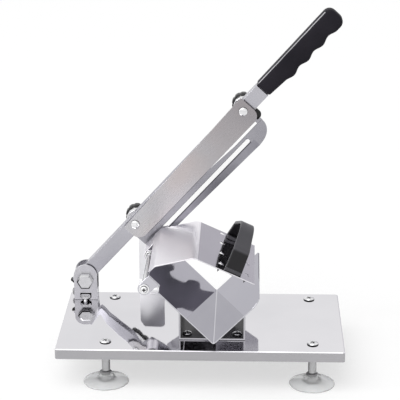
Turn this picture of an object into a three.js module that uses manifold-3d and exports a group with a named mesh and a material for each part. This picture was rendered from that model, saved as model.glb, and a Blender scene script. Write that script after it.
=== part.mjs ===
// A bench slicer for frozen meat: a blade on a long lever cuts at the open end of a V-shaped trough,
// and a toothed press plate on a guide rod holds the meat down and pushes it on.
// Millimetres, +Z up, +X to the right and +Y away from the person who feeds the trough.
// Sizes are first given from the left end, the front edge and the top face of the base plate.
import * as THREE from "three";
import { mergeVertices } from "three/addons/utils/BufferGeometryUtils.js";
import Module from "manifold-3d";

const wasm = await Module();
wasm.setup();

// Clearances: between seated pieces, between a shank and its hole, and how far a cutter runs past
const gap = 0.3;
const holeClearance = 0.3;
const overrun = 1;

// Base plate, a tray of folded sheet, upside down
const baseLength = 320;
const baseDepth = 168;
const baseSheet = 1.5;
const baseLip = 12;
const baseCorner = 3;
const baseEdge = 1.5;

// Feet: suction cups on turned posts
const floorDrop = 48;
const footFromLeft = 54.5;
const footFromRight = 35;
const footFromFront = 21.5;
const footFromBack = 17.5;
const cupRadius = 25.5;
const cupHeight = 9.6;
const cupRimHeight = 1.4;
const cupRimFlat = 2.4;
const cupBossRadius = 7.5;
const cupHollow = 3;
const cupDomeShare = 0.8;
const cupWaistShare = 0.72;
const cupNeckShare = 1.2;
const footPostRadius = 4.65;
const footStudRadius = 3;
const footStudDepth = 5;
const footNutFlats = 12;
const footNutHeight = 3.8;
const footScrewHeadRadius = 6.4;
const footScrewHeadHeight = 2.6;
const footScrewRadius = 2.5;
const footScrewLength = 12;

// Pivot post, a clevis of bent sheet round the arm
const pivotFromLeft = 20.5;
const pivotHeight = 25;
const postWidth = 27.5;
const postRise = 5.6;
const postSheet = 2;
const postBlockHeight = 9.2;
const pivotBoltFlats = 17;
const pivotBoltHead = 6.4;
const pivotBoltRadius = 5;
const pivotNutHeight = 6.5;
const pivotBoltSpare = 1.5;
const pivotWasherRadius = 10;
const pivotWasherThickness = 1;
const blockScrewHeadRadius = 4.5;
const blockScrewHeadHeight = 2.8;
const blockScrewRadius = 2.5;
const blockScrewLength = 10;

// Hex bolt standing in the base, half in a notch of the post's front cheek
const standBoltFlats = 10;
const standBoltHead = 4;
const standBoltRadius = 3;
const standBoltProud = 4.1;
const standBoltBelow = 8;
const standBoltInset = 1.9;
const standBoltClearance = 0.6;

// Trough, two walls of polished sheet at a right angle, with a folded tab at each end of the rod
const valleyFromLeft = 175.7;
const valleyHeight = 15.3;
const wallTiltDegrees = 45;
const troughSheet = 1.2;
const troughOverhang = 14;
const troughBack = 139.5;
const rightWallWidth = 69;
const leftWallWidth = 83;
const leftWallTopWidth = 99.3;
const rightFrontCorner = 12;
const rightBackCorner = 3;
const sheetCorner = 1;
const tabFront = 8;
const tabBack = 134.2;
const tabHalfWidth = 7.2;

// Bracket under the trough, a U of sheet
const bracketFromLeft = 136;
const bracketFront = 29;
const bracketDepth = 100;
const bracketWidth = 74;
const bracketSheet = 2;
const bracketScrewInset = 9;
const bracketScrewFromFront = 12;
const bracketScrewHeadRadius = 5.4;
const bracketScrewHeadHeight = 2.6;
const bracketScrewRadius = 2.5;
const bracketScrewLength = 7.5;

// Guide rod outside the left wall
const rodRadius = 4;
const rodFromWall = 15.6;
const rodScrewHeadRadius = 3.9;
const rodScrewHeadHeight = 2.4;
const rodScrewRadius = 2;
const rodScrewGrip = 8;
const rodWasherRadius = 5.8;
const rodWasherThickness = 1;

// Bush on the rod, and the knuckle of the press plate round it
const bushWall = 1.5;
const knuckleLength = 23.7;
const bushProud = 0.5;

// Press plate, bent along its ridge and again along the flange over the left wall
const pressSheet = 1.2;
const pressFront = 18;
const pressBack = 137.8;
const pressRidgeFromLeft = 153.8;
const pressRidgeRadius = 14;
const pressLeftRun = 43.5;
const pressLeftDegrees = 13.2;
const pressRightDegrees = 24.4;
const pressFlangeDegrees = 45;
const pressFlangeRadius = 6;
const pressFlangeOverhang = 2;
const pressRightWidth = 72.7;
const toothBase = 7;
const toothLength = 8;
const toothRows = [31.5, 63];
const toothPlaces = [15, 47, 79, 110];

// Handle on the press plate, a strap bent to a low arch
const strapFromRidge = 36;
const strapWidth = 19.5;
const strapWaist = 16;
const strapHeight = 44;
const strapThickness = 4;
const strapFromFront = 1;
const strapSpan = 113;
const strapPad = 11.5;
const strapPadHeight = 4.5;
const strapKneeShare = 0.58;
const strapInnerShare = 0.8;
const strapRootShare = 1.7;
const strapFrontKneeShare = 0.13;
const strapBackKneeShare = 0.86;
const strapTopShare = 0.49;
const strapKneeRadius = 7;
const strapTopRadius = 32;
const strapScrewHeadRadius = 3.8;
const strapScrewHeadHeight = 2;
const strapScrewRadius = 1.8;
const strapScrewLength = 4.4;

// Arm: a flat bar on edge, its eye round the pivot, and a thinner tang in the grip
const armDegrees = 47.7;
const clampFromTrough = 1.5;
const armDepth = 12;
const armWidth = 18;
const armOffset = 3.35;
const armTail = 11.5;
const armEyeRadius = 12;
const armReach = 311;
const armCorner = 2;
const tangLength = 112;
const tangWidth = 11;
const tangDepth = 5;
const bumperThickness = 2.7;
const bumperWidth = 8;
const bumperDepth = 7;

// Clamp plate in front of the blade, a little narrower at its lower end
const clampThickness = 2;
const clampStart = 81;
const clampFromGrip = 22.7;
const clampLowerTop = 10.5;
const clampUpperTop = 16.3;
const clampBottom = 14.6;
const clampLowerCorner = 12;
const clampUpperCorner = 10;
const clampSmallCorner = 1.5;

// Blade: its cutting edge falls away from the arm towards the toe
const bladeThickness = 2;
const bladeInset = 1;
const bladeTop = 11;
const bladeToeInset = 3.5;
const heelDrop = 29.7;
const heelRun = 37;
const heelEdgeDrop = 34;
const toeDrop = 17.7;
const toeRun = 27;
const toeEdgeDrop = 37.9;
const grindTopDrop = 22;
const grindFromClampEnd = 30.3;
const edgeThickness = 0.4;
const spacerSunk = 6.5;
const spacerProud = 3.1;
const spacerTop = 5.5;
const spacerBottom = 15.9;
const spacerCorner = 6;

// Two bolts, collars and knobs that clamp the blade
const boltFromClampStart = 12;
const boltFromClampEnd = 9.7;
const bladeBoltHeadRadius = 5.2;
const bladeBoltHeadHeight = 2.6;
const bladeBoltRadius = 4;
const knobCollarRadius = 11.5;
const knobCollarLength = 12;
const knobRadius = 13.4;
const knobDepth = 11;
const knobEdge = 2;
const knobThreadDepth = 7;
const knobNotches = 10;
const knobNotchRadius = 3;
const knobNotchDepth = 0.8;

// Grip: straight on top, four finger swells below
const gripDepth = 18;
const gripRound = 4;
const gripStartTop = 13.2;
const gripEndTop = 14.6;
const gripStartBottom = 6.5;
const gripLength = 120.5;
const gripSwellStart = 25;
const gripSwellPitch = 23.3;
const gripSwells = 4;
const gripSwellMean = 9.8;
const gripSwellHeight = 1.5;
const gripEndRadius = 9;

// Slice guard behind the blade, a plate with one joggle
const guardFromLeft = 81.2;
const guardWidth = 30.2;
const guardHeight = 71;
const guardSheet = 1.5;
const guardClearance = 2.5;
const guardJoggleLow = 3;
const guardJoggleHigh = 8;
const guardCorner = 6;
const guardFoot = 11;
const guardScrewInset = 7;
const guardScrewDrop = 6;
const guardScrewHeadRadius = 3.8;
const guardScrewHeadHeight = 2.2;
const guardScrewRadius = 2;
const guardNutFlats = 7;
const guardNutHeight = 3;
const guardScrewSpare = 1;

// How finely round shapes are cut
const roundSides = 22;
const screwSides = 12;
const finelyCutRadius = 5.5;
const cupSides = 32;
const cornerSteps = 4;
const swellSteps = 6;

// Colour, roughness and metalness of each finish
const polished = { color: 0xd6d4da, roughness: 0.16, metalness: 1 };
const satin = { color: 0xc4bec6, roughness: 0.32, metalness: 1 };
const bladeSteel = { color: 0xb4b4bc, roughness: 0.2, metalness: 1 };
const bright = { color: 0xdedee0, roughness: 0.22, metalness: 1 };
const blackPlastic = { color: 0x211f24, roughness: 0.42, metalness: 0 };
const greyPlastic = { color: 0x3a393e, roughness: 0.5, metalness: 0 };
const rubber = { color: 0x151517, roughness: 0.8, metalness: 0 };
const clearRubber = { color: 0xc2c8ca, roughness: 0.28, metalness: 0 };

const armAngle = THREE.MathUtils.degToRad(armDegrees);
const wallTilt = THREE.MathUtils.degToRad(wallTiltDegrees);
const leftSlope = THREE.MathUtils.degToRad(pressLeftDegrees);
const rightSlope = THREE.MathUtils.degToRad(pressRightDegrees);
const flangeSlope = THREE.MathUtils.degToRad(pressFlangeDegrees);
const quarterTurn = Math.PI / 2;
const mitreShare = Math.tan(wallTilt);

// Places along the arm, from the pivot out to the grip
const clampEnd = armReach - clampFromGrip;
const bladeStart = clampStart + bladeInset;
const bladeEnd = clampEnd - bladeToeInset;
const grindEnd = clampEnd - grindFromClampEnd;
const boltPlaces = [clampStart + boltFromClampStart, clampEnd - boltFromClampEnd];

// Places along the depth, from the trough's cutting end back
const clampFront = troughBack + clampFromTrough;
const bladeFront = clampFront + clampThickness + gap;
const armFront = bladeFront + bladeThickness + gap;
const armBack = armFront + armDepth;
const armMiddle = armFront + armDepth / 2;
const postFront = armFront - pivotWasherThickness - 2 * gap - postSheet;
const postBackInner = armBack + pivotWasherThickness + 2 * gap;
const postBack = postBackInner + postSheet;
const knobCollarFront = armBack + gap;
const knobFront = knobCollarFront + knobCollarLength + gap;
const knobBack = knobFront + knobDepth;
const guardFront = knobBack + guardClearance;

// A closed geometry as a solid, with its shared vertices merged.
function solidOf(geometry) {
  const bare = geometry.index ? geometry.toNonIndexed() : geometry.clone();
  bare.deleteAttribute("normal");
  bare.deleteAttribute("uv");
  const merged = mergeVertices(bare);
  return new wasm.Manifold(
    new wasm.Mesh({
      numProp: 3,
      vertProperties: merged.attributes.position.array,
      triVerts: new Uint32Array(merged.index.array),
    }),
  );
}

function geometryOf(solid) {
  const mesh = solid.getMesh();
  const made = new THREE.BufferGeometry();
  made.setAttribute("position", new THREE.BufferAttribute(mesh.vertProperties, 3));
  made.setIndex(new THREE.BufferAttribute(mesh.triVerts, 1));
  made.computeVertexNormals();
  return made;
}

function joined(...pieces) {
  return geometryOf(pieces.map(solidOf).reduce((sum, piece) => sum.add(piece)));
}

function cutFrom(body, ...cutters) {
  return geometryOf(cutters.reduce((rest, cutter) => rest.subtract(solidOf(cutter)), solidOf(body)));
}

// A closed outline through corners given as [x, y, radius], each corner rounded by its radius.
function outline(corners) {
  const shape = new THREE.Shape();
  corners.forEach(([x, y, radius = 0], i) => {
    const corner = new THREE.Vector2(x, y);
    const [beforeX, beforeY] = corners.at(i - 1);
    const [afterX, afterY] = corners[(i + 1) % corners.length];
    const back = new THREE.Vector2(beforeX, beforeY).sub(corner).normalize();
    const on = new THREE.Vector2(afterX, afterY).sub(corner).normalize();
    const half = Math.acos(THREE.MathUtils.clamp(back.dot(on), -1, 1)) / 2;
    const start = corner.clone().addScaledVector(back, radius / Math.tan(half));
    if (i) shape.lineTo(start.x, start.y);
    else shape.moveTo(start.x, start.y);
    if (!radius) return;
    const middle = back.clone().add(on).normalize();
    const centre = corner.clone().addScaledVector(middle, radius / Math.sin(half));
    const end = corner.clone().addScaledVector(on, radius / Math.tan(half));
    const from = start.clone().sub(centre).angle();
    const to = end.clone().sub(centre).angle();
    shape.absarc(centre.x, centre.y, radius, from, to, back.cross(on) > 0);
  });
  shape.closePath();
  return shape;
}

function rectangle(left, bottom, width, height, radius = 0) {
  const right = left + width;
  const top = bottom + height;
  return outline([
    [left, bottom, radius],
    [right, bottom, radius],
    [right, top, radius],
    [left, top, radius],
  ]);
}

// A plate of the outline, thick along its own +Z.
function plate(shape, thickness, steps = cornerSteps) {
  return new THREE.ExtrudeGeometry(shape, { depth: thickness, bevelEnabled: false, curveSegments: steps });
}

// A plate that faces the front: the outline lies in X and Z, and the thickness runs back from front.
function upright(shape, thickness, front, steps = cornerSteps) {
  return plate(shape, thickness, steps)
    .rotateX(quarterTurn)
    .translate(0, front + thickness, 0);
}

function box(left, front, bottom, width, depth, height) {
  const made = new THREE.BoxGeometry(width, depth, height);
  return made.translate(left + width / 2, front + depth / 2, bottom + height / 2);
}

function sidesFor(radius) {
  return radius < finelyCutRadius ? screwSides : roundSides;
}

// A round rod along Y from front to back, its axis at x and z.
function rodAlongY(radius, x, z, front, back, sides = sidesFor(radius)) {
  const made = new THREE.CylinderGeometry(radius, radius, back - front, sides);
  return made.translate(x, (front + back) / 2, z);
}

function rodUp(radius, x, y, bottom, top) {
  const made = new THREE.CylinderGeometry(radius, radius, top - bottom, sidesFor(radius));
  return made.rotateX(quarterTurn).translate(x, y, (bottom + top) / 2);
}

// A body turned about Y from a profile of [radius, height], whose ends lie on the axis.
function turned(profile, sides = roundSides) {
  const points = profile.map(([radius, height]) => new THREE.Vector2(radius, height));
  return new THREE.LatheGeometry(points, sides);
}

// A domed screw along +Y: the head stands on y = 0 and the shank goes down from it.
function panScrew(headRadius, headHeight, shankRadius, shankLength) {
  const shoulderShare = 0.45;
  const domeShare = 0.72;
  return turned([
    [0, -shankLength],
    [shankRadius, -shankLength],
    [shankRadius, 0],
    [headRadius, 0],
    [headRadius, headHeight * shoulderShare],
    [headRadius * domeShare, headHeight],
    [0, headHeight],
  ], screwSides);
}

// A hexagon bar along Y, flat to flat, with two corners to the left and right.
function hexAlongY(flats, front, back) {
  const made = new THREE.CylinderGeometry(flats / Math.sqrt(3), flats / Math.sqrt(3), back - front, 6);
  return made.rotateY(quarterTurn / 3).translate(0, (front + back) / 2, 0);
}

const slicer = new THREE.Group();

function add(parent, name, geometry, finish) {
  const mesh = new THREE.Mesh(geometry, new THREE.MeshStandardMaterial(finish));
  mesh.name = name;
  parent.add(mesh);
  return mesh;
}

// Where each foot stands, by its end of the base
const feet = {
  front_left: [footFromLeft, footFromFront],
  front_right: [baseLength - footFromRight, footFromFront],
  rear_left: [footFromLeft, baseDepth - footFromBack],
  rear_right: [baseLength - footFromRight, baseDepth - footFromBack],
};

const bracketLeft = bracketFromLeft;
const bracketRight = bracketLeft + bracketWidth;
const bracketBack = bracketFront + bracketDepth;
const bracketScrews = {
  front_left: [bracketLeft + bracketScrewInset, bracketFront + bracketScrewFromFront],
  front_right: [bracketRight - bracketScrewInset, bracketFront + bracketScrewFromFront],
  rear_left: [bracketLeft + bracketScrewInset, bracketBack - bracketScrewFromFront],
  rear_right: [bracketRight - bracketScrewInset, bracketBack - bracketScrewFromFront],
};

const standBoltY = postFront + standBoltInset - standBoltFlats / 2;
const guardScrewHeight = -guardScrewDrop;
const guardScrews = {
  left: guardFromLeft + guardScrewInset,
  right: guardFromLeft + guardWidth - guardScrewInset,
};

// The tray has a flat top and a lip all round, and its upper edge is rounded by the fold.
function baseTray() {
  const outer = new THREE.ExtrudeGeometry(rectangle(0, 0, baseLength, baseDepth, baseCorner), {
    depth: baseLip,
    bevelThickness: baseEdge,
    bevelSize: baseEdge,
    bevelOffset: -baseEdge,
    bevelSegments: 2,
    curveSegments: cornerSteps,
  }).translate(0, 0, -baseLip - baseEdge);
  const innerLength = baseLength - 2 * baseSheet;
  const innerDepth = baseDepth - 2 * baseSheet;
  const innerHeight = baseLip + 2 * baseEdge - baseSheet + overrun;
  const inner = plate(rectangle(baseSheet, baseSheet, innerLength, innerDepth, baseCorner), innerHeight);
  inner.translate(0, 0, -baseSheet - innerHeight);
  const wide = baseLength + 2 * overrun;
  const deep = baseDepth + 2 * overrun;
  const below = box(-overrun, -overrun, -2 * baseLip, wide, deep, baseLip);
  const through = (radius, x, y) => rodUp(radius + holeClearance, x, y, -baseSheet - overrun, overrun);
  const holes = [
    ...Object.values(feet).map(([x, y]) => through(footScrewRadius, x, y)),
    ...Object.values(bracketScrews).map(([x, y]) => through(bracketScrewRadius, x, y)),
    through(standBoltRadius, pivotFromLeft, standBoltY),
    ...Object.values(guardScrews).map((x) =>
      rodAlongY(
        guardScrewRadius + holeClearance,
        x,
        guardScrewHeight,
        baseDepth - baseSheet - overrun,
        baseDepth + overrun,
      ),
    ),
  ];
  return cutFrom(outer, inner, below, ...holes);
}

add(slicer, "base_plate", baseTray(), polished);

// The cup is a thin dished disc with a boss; only the flat ring under its rim touches the bench.
function suctionCup() {
  const rimInner = cupRadius - cupRimFlat;
  const socket = footStudRadius + holeClearance;
  const shoulder = (cupHeight + cupRimHeight) / 2;
  return turned(
    [
      [0, cupHollow],
      [rimInner / 2, cupHollow * cupDomeShare],
      [rimInner, 0],
      [cupRadius - cupRimHeight / 2, 0],
      [cupRadius, cupRimHeight / 2],
      [cupRadius - cupRimHeight / 2, cupRimHeight],
      [(cupRadius + cupBossRadius) / 2, shoulder * cupWaistShare],
      [cupBossRadius + cupRimHeight, shoulder * cupNeckShare],
      [cupBossRadius, cupHeight],
      [socket, cupHeight],
      [socket, cupHeight - footStudDepth - holeClearance],
      [0, cupHeight - footStudDepth - holeClearance],
    ],
    cupSides,
  );
}

const nutTop = cupHeight + gap + footNutHeight;
const footPostTop = floorDrop - baseSheet - gap;

// The post stands on its nut, its stud goes down into the cup, and its bore takes the screw.
function footPost() {
  const bore = footScrewRadius + holeClearance;
  const boreBottom = floorDrop - footScrewLength - holeClearance;
  return turned([
    [0, cupHeight - footStudDepth],
    [footStudRadius, cupHeight - footStudDepth],
    [footStudRadius, nutTop + gap],
    [footPostRadius, nutTop + gap],
    [footPostRadius, footPostTop],
    [bore, footPostTop],
    [bore, boreBottom],
    [0, boreBottom],
  ]);
}

for (const [place, [x, y]] of Object.entries(feet)) {
  const foot = new THREE.Group();
  foot.rotation.x = quarterTurn;
  foot.position.set(x, y, -floorDrop);
  slicer.add(foot);
  add(foot, "suction_cup_" + place, suctionCup(), clearRubber);
  add(foot, "foot_post_" + place, footPost(), bright);
  const nut = cutFrom(
    hexAlongY(footNutFlats, cupHeight + gap, nutTop),
    rodAlongY(footStudRadius + holeClearance, 0, 0, cupHeight, nutTop + overrun),
  );
  add(foot, "foot_nut_" + place, nut, bright);
  const screw = panScrew(footScrewHeadRadius, footScrewHeadHeight, footScrewRadius, footScrewLength);
  add(foot, "foot_screw_" + place, screw, bright).position.y = floorDrop + gap;
}

const postLeft = pivotFromLeft - postWidth / 2;
const pivotHole = pivotBoltRadius + holeClearance;

const postRoundHeight = pivotHeight + postRise;

// A cheek of the clevis: straight sides and a round top, whose middle lies a little above the pivot.
function cheek(front) {
  const shape = rectangle(postLeft, gap, postWidth, postRoundHeight - gap);
  const round = rodAlongY(postWidth / 2, pivotFromLeft, postRoundHeight, front, front + postSheet);
  return joined(upright(shape, postSheet, front), round);
}

// The notch gives the standing bolt's head room on both sides and above.
const notchWidth = (standBoltFlats * 2) / Math.sqrt(3) + 2 * standBoltClearance;
const notchHeight = standBoltProud + standBoltHead + standBoltClearance;

function boltNotch() {
  const left = pivotFromLeft - notchWidth / 2;
  const below = standBoltProud - standBoltClearance;
  const front = postFront - overrun;
  return box(left, front, below, notchWidth, postSheet + overrun, notchHeight - below);
}

// Under the head the notch narrows to a slot for the shank.
function boltSlot() {
  const width = 2 * (standBoltRadius + standBoltClearance);
  const left = pivotFromLeft - width / 2;
  return box(left, postFront - overrun, -overrun, width, postSheet + overrun, standBoltProud + overrun);
}

function pivotPost() {
  const floor = box(postLeft, postFront, gap, postWidth, postBack - postFront, postSheet);
  const body = joined(cheek(postFront), cheek(postBackInner), floor);
  const hole = rodAlongY(pivotHole, pivotFromLeft, pivotHeight, postFront - overrun, postBack + overrun);
  return cutFrom(body, hole, boltNotch(), boltSlot());
}

add(slicer, "pivot_post", pivotPost(), polished);

// The block between the cheeks is the stop that the tail of the arm meets when the blade is raised.
const blockFront = postFront + postSheet + gap;
const blockDepth = postBackInner - gap - blockFront;
const blockBottom = postSheet + 2 * gap;
const blockMiddle = blockFront + blockDepth / 2;
const blockScrewHeight = blockBottom + postBlockHeight / 2;

function postBlock() {
  const body = box(postLeft, blockFront, blockBottom, postWidth, blockDepth, postBlockHeight);
  const length = blockScrewLength + holeClearance + overrun;
  const hole = new THREE.CylinderGeometry(
    blockScrewRadius + holeClearance,
    blockScrewRadius + holeClearance,
    length,
    roundSides,
  );
  hole.rotateZ(quarterTurn).translate(postLeft - overrun + length / 2, blockMiddle, blockScrewHeight);
  return cutFrom(body, hole);
}

add(slicer, "post_block", postBlock(), satin);

const blockScrew = panScrew(blockScrewHeadRadius, blockScrewHeadHeight, blockScrewRadius, blockScrewLength);
blockScrew.rotateZ(quarterTurn);
add(slicer, "block_screw", blockScrew, bright).position.set(postLeft - gap, blockMiddle, blockScrewHeight);

const pivotGroup = new THREE.Group();
pivotGroup.position.set(pivotFromLeft, 0, pivotHeight);
slicer.add(pivotGroup);

const pivotNutFront = postBack + gap;
const pivotBoltEnd = pivotNutFront + pivotNutHeight + pivotBoltSpare;
const pivotBolt = joined(
  hexAlongY(pivotBoltFlats, postFront - gap - pivotBoltHead, postFront - gap),
  rodAlongY(pivotBoltRadius, 0, 0, postFront - pivotBoltHead, pivotBoltEnd),
);
add(pivotGroup, "pivot_bolt", pivotBolt, bright);
const pivotNut = cutFrom(
  hexAlongY(pivotBoltFlats, pivotNutFront, pivotNutFront + pivotNutHeight),
  rodAlongY(pivotHole, 0, 0, postBack, pivotBoltEnd),
);
add(pivotGroup, "pivot_nut", pivotNut, bright);

function washer(radius, hole, front, thickness) {
  const disc = rodAlongY(radius, 0, 0, front, front + thickness);
  return cutFrom(disc, rodAlongY(hole, 0, 0, front - overrun, front + thickness + overrun));
}

const pivotWashers = { front: postFront + postSheet + gap, rear: armBack + gap };
for (const [place, front] of Object.entries(pivotWashers)) {
  const disc = washer(pivotWasherRadius, pivotHole, front, pivotWasherThickness);
  add(pivotGroup, "pivot_washer_" + place, disc, bright);
}

// The standing bolt is left a little proud of the base, so its shank shows under the head.
function standBolt() {
  const head = hexAlongY(standBoltFlats, standBoltProud, standBoltProud + standBoltHead);
  const shank = rodAlongY(standBoltRadius, 0, 0, -standBoltBelow, standBoltProud + overrun);
  return joined(head, shank).rotateX(quarterTurn);
}

add(slicer, "stand_bolt", standBolt(), bright).position.set(pivotFromLeft, standBoltY, 0);

// Directions along and out from the trough's walls
const alongDepth = new THREE.Vector3(0, 1, 0);
const towardFront = alongDepth.clone().negate();
const upRight = new THREE.Vector3(Math.cos(wallTilt), 0, Math.sin(wallTilt));
const upLeft = new THREE.Vector3(-Math.cos(wallTilt), 0, Math.sin(wallTilt));
const outRight = new THREE.Vector3(Math.sin(wallTilt), 0, -Math.cos(wallTilt));
const inLeft = new THREE.Vector3(Math.sin(wallTilt), 0, Math.cos(wallTilt));
const valley = new THREE.Vector3(valleyFromLeft, 0, valleyHeight);

// Carries a geometry from its own x, y and z to the three directions given, from the origin given.
function placed(geometry, x, y, z, origin) {
  return geometry.applyMatrix4(new THREE.Matrix4().makeBasis(x, y, z).setPosition(origin));
}

const rodWidth = leftWallTopWidth - tabHalfWidth;
const rodAxis = valley.clone().addScaledVector(upLeft, rodWidth).addScaledVector(inLeft, -rodFromWall);

// A tab folded out from the left wall's upper part, round about the rod's axis.
function rodTab(front) {
  const shape = outline([
    [rodWidth - tabHalfWidth, 0],
    [rodWidth + tabHalfWidth, 0],
    [rodWidth + tabHalfWidth, -rodFromWall],
    [rodWidth - tabHalfWidth, -rodFromWall],
  ]);
  const flat = plate(shape, troughSheet);
  placed(flat, upLeft, inLeft, alongDepth, valley.clone().setY(front));
  return joined(flat, rodAlongY(tabHalfWidth, rodAxis.x, rodAxis.z, front, front + troughSheet));
}

function troughSheets() {
  const right = plate(
    outline([
      [-troughOverhang, -troughSheet * mitreShare],
      [troughBack, -troughSheet * mitreShare],
      [troughBack, rightWallWidth, rightBackCorner],
      [-troughOverhang, rightWallWidth, rightFrontCorner],
    ]),
    troughSheet,
  );
  placed(right, alongDepth, upRight, outRight, valley);
  const left = plate(
    outline([
      [-troughOverhang, -troughSheet * mitreShare],
      [troughBack, -troughSheet * mitreShare],
      [troughBack, leftWallWidth, sheetCorner],
      [tabBack, leftWallWidth],
      [tabBack, leftWallTopWidth],
      [tabFront, leftWallTopWidth],
      [tabFront, leftWallWidth],
      [-troughOverhang, leftWallWidth, sheetCorner],
    ]),
    troughSheet,
  ).translate(0, 0, -troughSheet);
  placed(left, alongDepth, upLeft, inLeft, valley);
  const hole = rodAlongY(
    rodScrewRadius + holeClearance,
    rodAxis.x,
    rodAxis.z,
    tabFront - overrun,
    tabBack + overrun,
  );
  return cutFrom(joined(right, left, rodTab(tabFront), rodTab(tabBack - troughSheet)), hole);
}

add(slicer, "trough", troughSheets(), polished);

// Each side wall of the bracket reaches up to the underside of the trough.
function troughBracket() {
  const bottom = gap;
  const outerValley = valleyHeight - troughSheet / Math.cos(wallTilt);
  const side = (left) => {
    const reach = Math.min(Math.abs(left - valleyFromLeft), Math.abs(left + bracketSheet - valleyFromLeft));
    const top = outerValley + reach * Math.tan(wallTilt) - gap / Math.cos(wallTilt);
    return box(left, bracketFront, bottom, bracketSheet, bracketDepth, top - bottom);
  };
  const floor = box(bracketLeft, bracketFront, bottom, bracketWidth, bracketDepth, bracketSheet);
  const holes = Object.values(bracketScrews).map(([x, y]) =>
    rodUp(bracketScrewRadius + holeClearance, x, y, bottom - overrun, bottom + bracketSheet + overrun),
  );
  return cutFrom(joined(floor, side(bracketLeft), side(bracketRight - bracketSheet)), ...holes);
}

add(slicer, "trough_bracket", troughBracket(), polished);

for (const [place, [x, y]] of Object.entries(bracketScrews)) {
  const screw = panScrew(
    bracketScrewHeadRadius,
    bracketScrewHeadHeight,
    bracketScrewRadius,
    bracketScrewLength,
  ).rotateX(quarterTurn);
  add(slicer, "bracket_screw_" + place, screw, bright).position.set(x, y, 2 * gap + bracketSheet);
}

// The rod is held between the two tabs by a screw at each end.
const rodFront = tabFront + troughSheet + gap;
const rodBack = tabBack - troughSheet - gap;
const rodGroup = new THREE.Group();
rodGroup.position.set(rodAxis.x, 0, rodAxis.z);
slicer.add(rodGroup);

function guideRod() {
  const bore = rodScrewRadius + holeClearance;
  return cutFrom(
    rodAlongY(rodRadius, 0, 0, rodFront, rodBack),
    rodAlongY(bore, 0, 0, rodFront - overrun, rodFront + rodScrewGrip),
    rodAlongY(bore, 0, 0, rodBack - rodScrewGrip, rodBack + overrun),
  );
}

add(rodGroup, "guide_rod", guideRod(), bright);
const rodWasherFront = tabFront - gap - rodWasherThickness;
const rodHole = rodScrewRadius + holeClearance;
add(rodGroup, "rod_washer", washer(rodWasherRadius, rodHole, rodWasherFront, rodWasherThickness), bright);

function rodScrew(head, end) {
  const length = Math.abs(end - head) - holeClearance;
  const screw = panScrew(rodScrewHeadRadius, rodScrewHeadHeight, rodScrewRadius, length);
  return screw.rotateX(end > head ? Math.PI : 0).translate(0, head, 0);
}

add(rodGroup, "rod_screw_front", rodScrew(rodWasherFront - gap, rodFront + rodScrewGrip), bright);
add(rodGroup, "rod_screw_rear", rodScrew(tabBack + gap, rodBack - rodScrewGrip), bright);

// The bush slides on the rod, and the knuckle of the press plate turns on the bush.
const bushInner = rodRadius + holeClearance;
const bushOuter = bushInner + bushWall;
const knuckleInner = bushOuter + holeClearance;
const knuckleOuter = knuckleInner + pressSheet;
const bushBack = rodBack - gap;
const knuckleBack = bushBack - bushProud;
const knuckleFront = knuckleBack - knuckleLength;
const bushFront = knuckleFront - bushProud;
const bush = washer(bushOuter, bushInner, bushFront, bushBack - bushFront);
add(rodGroup, "slide_bush", bush, bright);

// The press plate's flange lies on the top edge of the left wall, and its left face rises to the ridge.
const wallTop = valley.clone().addScaledVector(upLeft, leftWallTopWidth);
const pressLength = pressBack - pressFront;
const flangeKnee = pressRidgeFromLeft - pressLeftRun;
const flangeRest = wallTop.z + gap + pressSheet / Math.cos(flangeSlope);
const kneeHeight = flangeRest + (flangeKnee - wallTop.x) * Math.tan(flangeSlope);
const ridgeHeight = kneeHeight + pressLeftRun * Math.tan(leftSlope);
const ridge = new THREE.Vector3(pressRidgeFromLeft, 0, ridgeHeight);
const downRight = new THREE.Vector3(Math.cos(rightSlope), 0, -Math.sin(rightSlope));
const offRight = new THREE.Vector3(Math.sin(rightSlope), 0, Math.cos(rightSlope));

const flangeEnd = wallTop.x - pressFlangeOverhang;
const flangeTop = flangeRest - pressFlangeOverhang * Math.tan(flangeSlope);
const flangeUnder = [
  flangeEnd + pressSheet * Math.sin(flangeSlope),
  flangeTop - pressSheet * Math.cos(flangeSlope),
];

function bentPlate() {
  const rightEnd = ridge.clone().addScaledVector(downRight, pressRightWidth);
  const rightUnder = rightEnd.clone().addScaledVector(offRight, -pressSheet);
  const underRidge = ridge.z - pressSheet / Math.cos((leftSlope + rightSlope) / 2);
  const kneeTurn = (flangeSlope + leftSlope) / 2;
  const kneeUnder = new THREE.Vector2(flangeKnee, kneeHeight);
  kneeUnder.add(new THREE.Vector2(Math.sin(kneeTurn), -Math.cos(kneeTurn)).multiplyScalar(pressSheet));
  const shape = outline([
    [flangeEnd, flangeTop],
    flangeUnder,
    [kneeUnder.x, kneeUnder.y, pressFlangeRadius],
    [pressRidgeFromLeft, underRidge, pressRidgeRadius],
    [rightUnder.x, rightUnder.z],
    [rightEnd.x, rightEnd.z],
    [pressRidgeFromLeft, ridge.z, pressRidgeRadius + pressSheet],
    [flangeKnee, kneeHeight, pressFlangeRadius + pressSheet],
  ]);
  return upright(shape, pressLength, pressFront);
}

// The knuckle is a lug of the same sheet that runs on from the flange and round the bush.
function knuckle() {
  const towardsRod = (radius) => [
    rodAxis.x - radius * Math.sin(flangeSlope),
    rodAxis.z + radius * Math.cos(flangeSlope),
  ];
  const along = pressSheet / Math.SQRT2;
  const lug = outline([
    [flangeEnd + along, flangeTop + along],
    towardsRod(knuckleOuter),
    towardsRod(knuckleInner),
    [flangeUnder[0] + along, flangeUnder[1] + along],
  ]);
  const strip = upright(lug, knuckleLength, knuckleFront);
  const ring = rodAlongY(knuckleOuter, rodAxis.x, rodAxis.z, knuckleFront, knuckleBack);
  const bore = rodAlongY(knuckleInner, rodAxis.x, rodAxis.z, knuckleFront - overrun, knuckleBack + overrun);
  return cutFrom(joined(strip, ring), bore);
}

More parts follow.
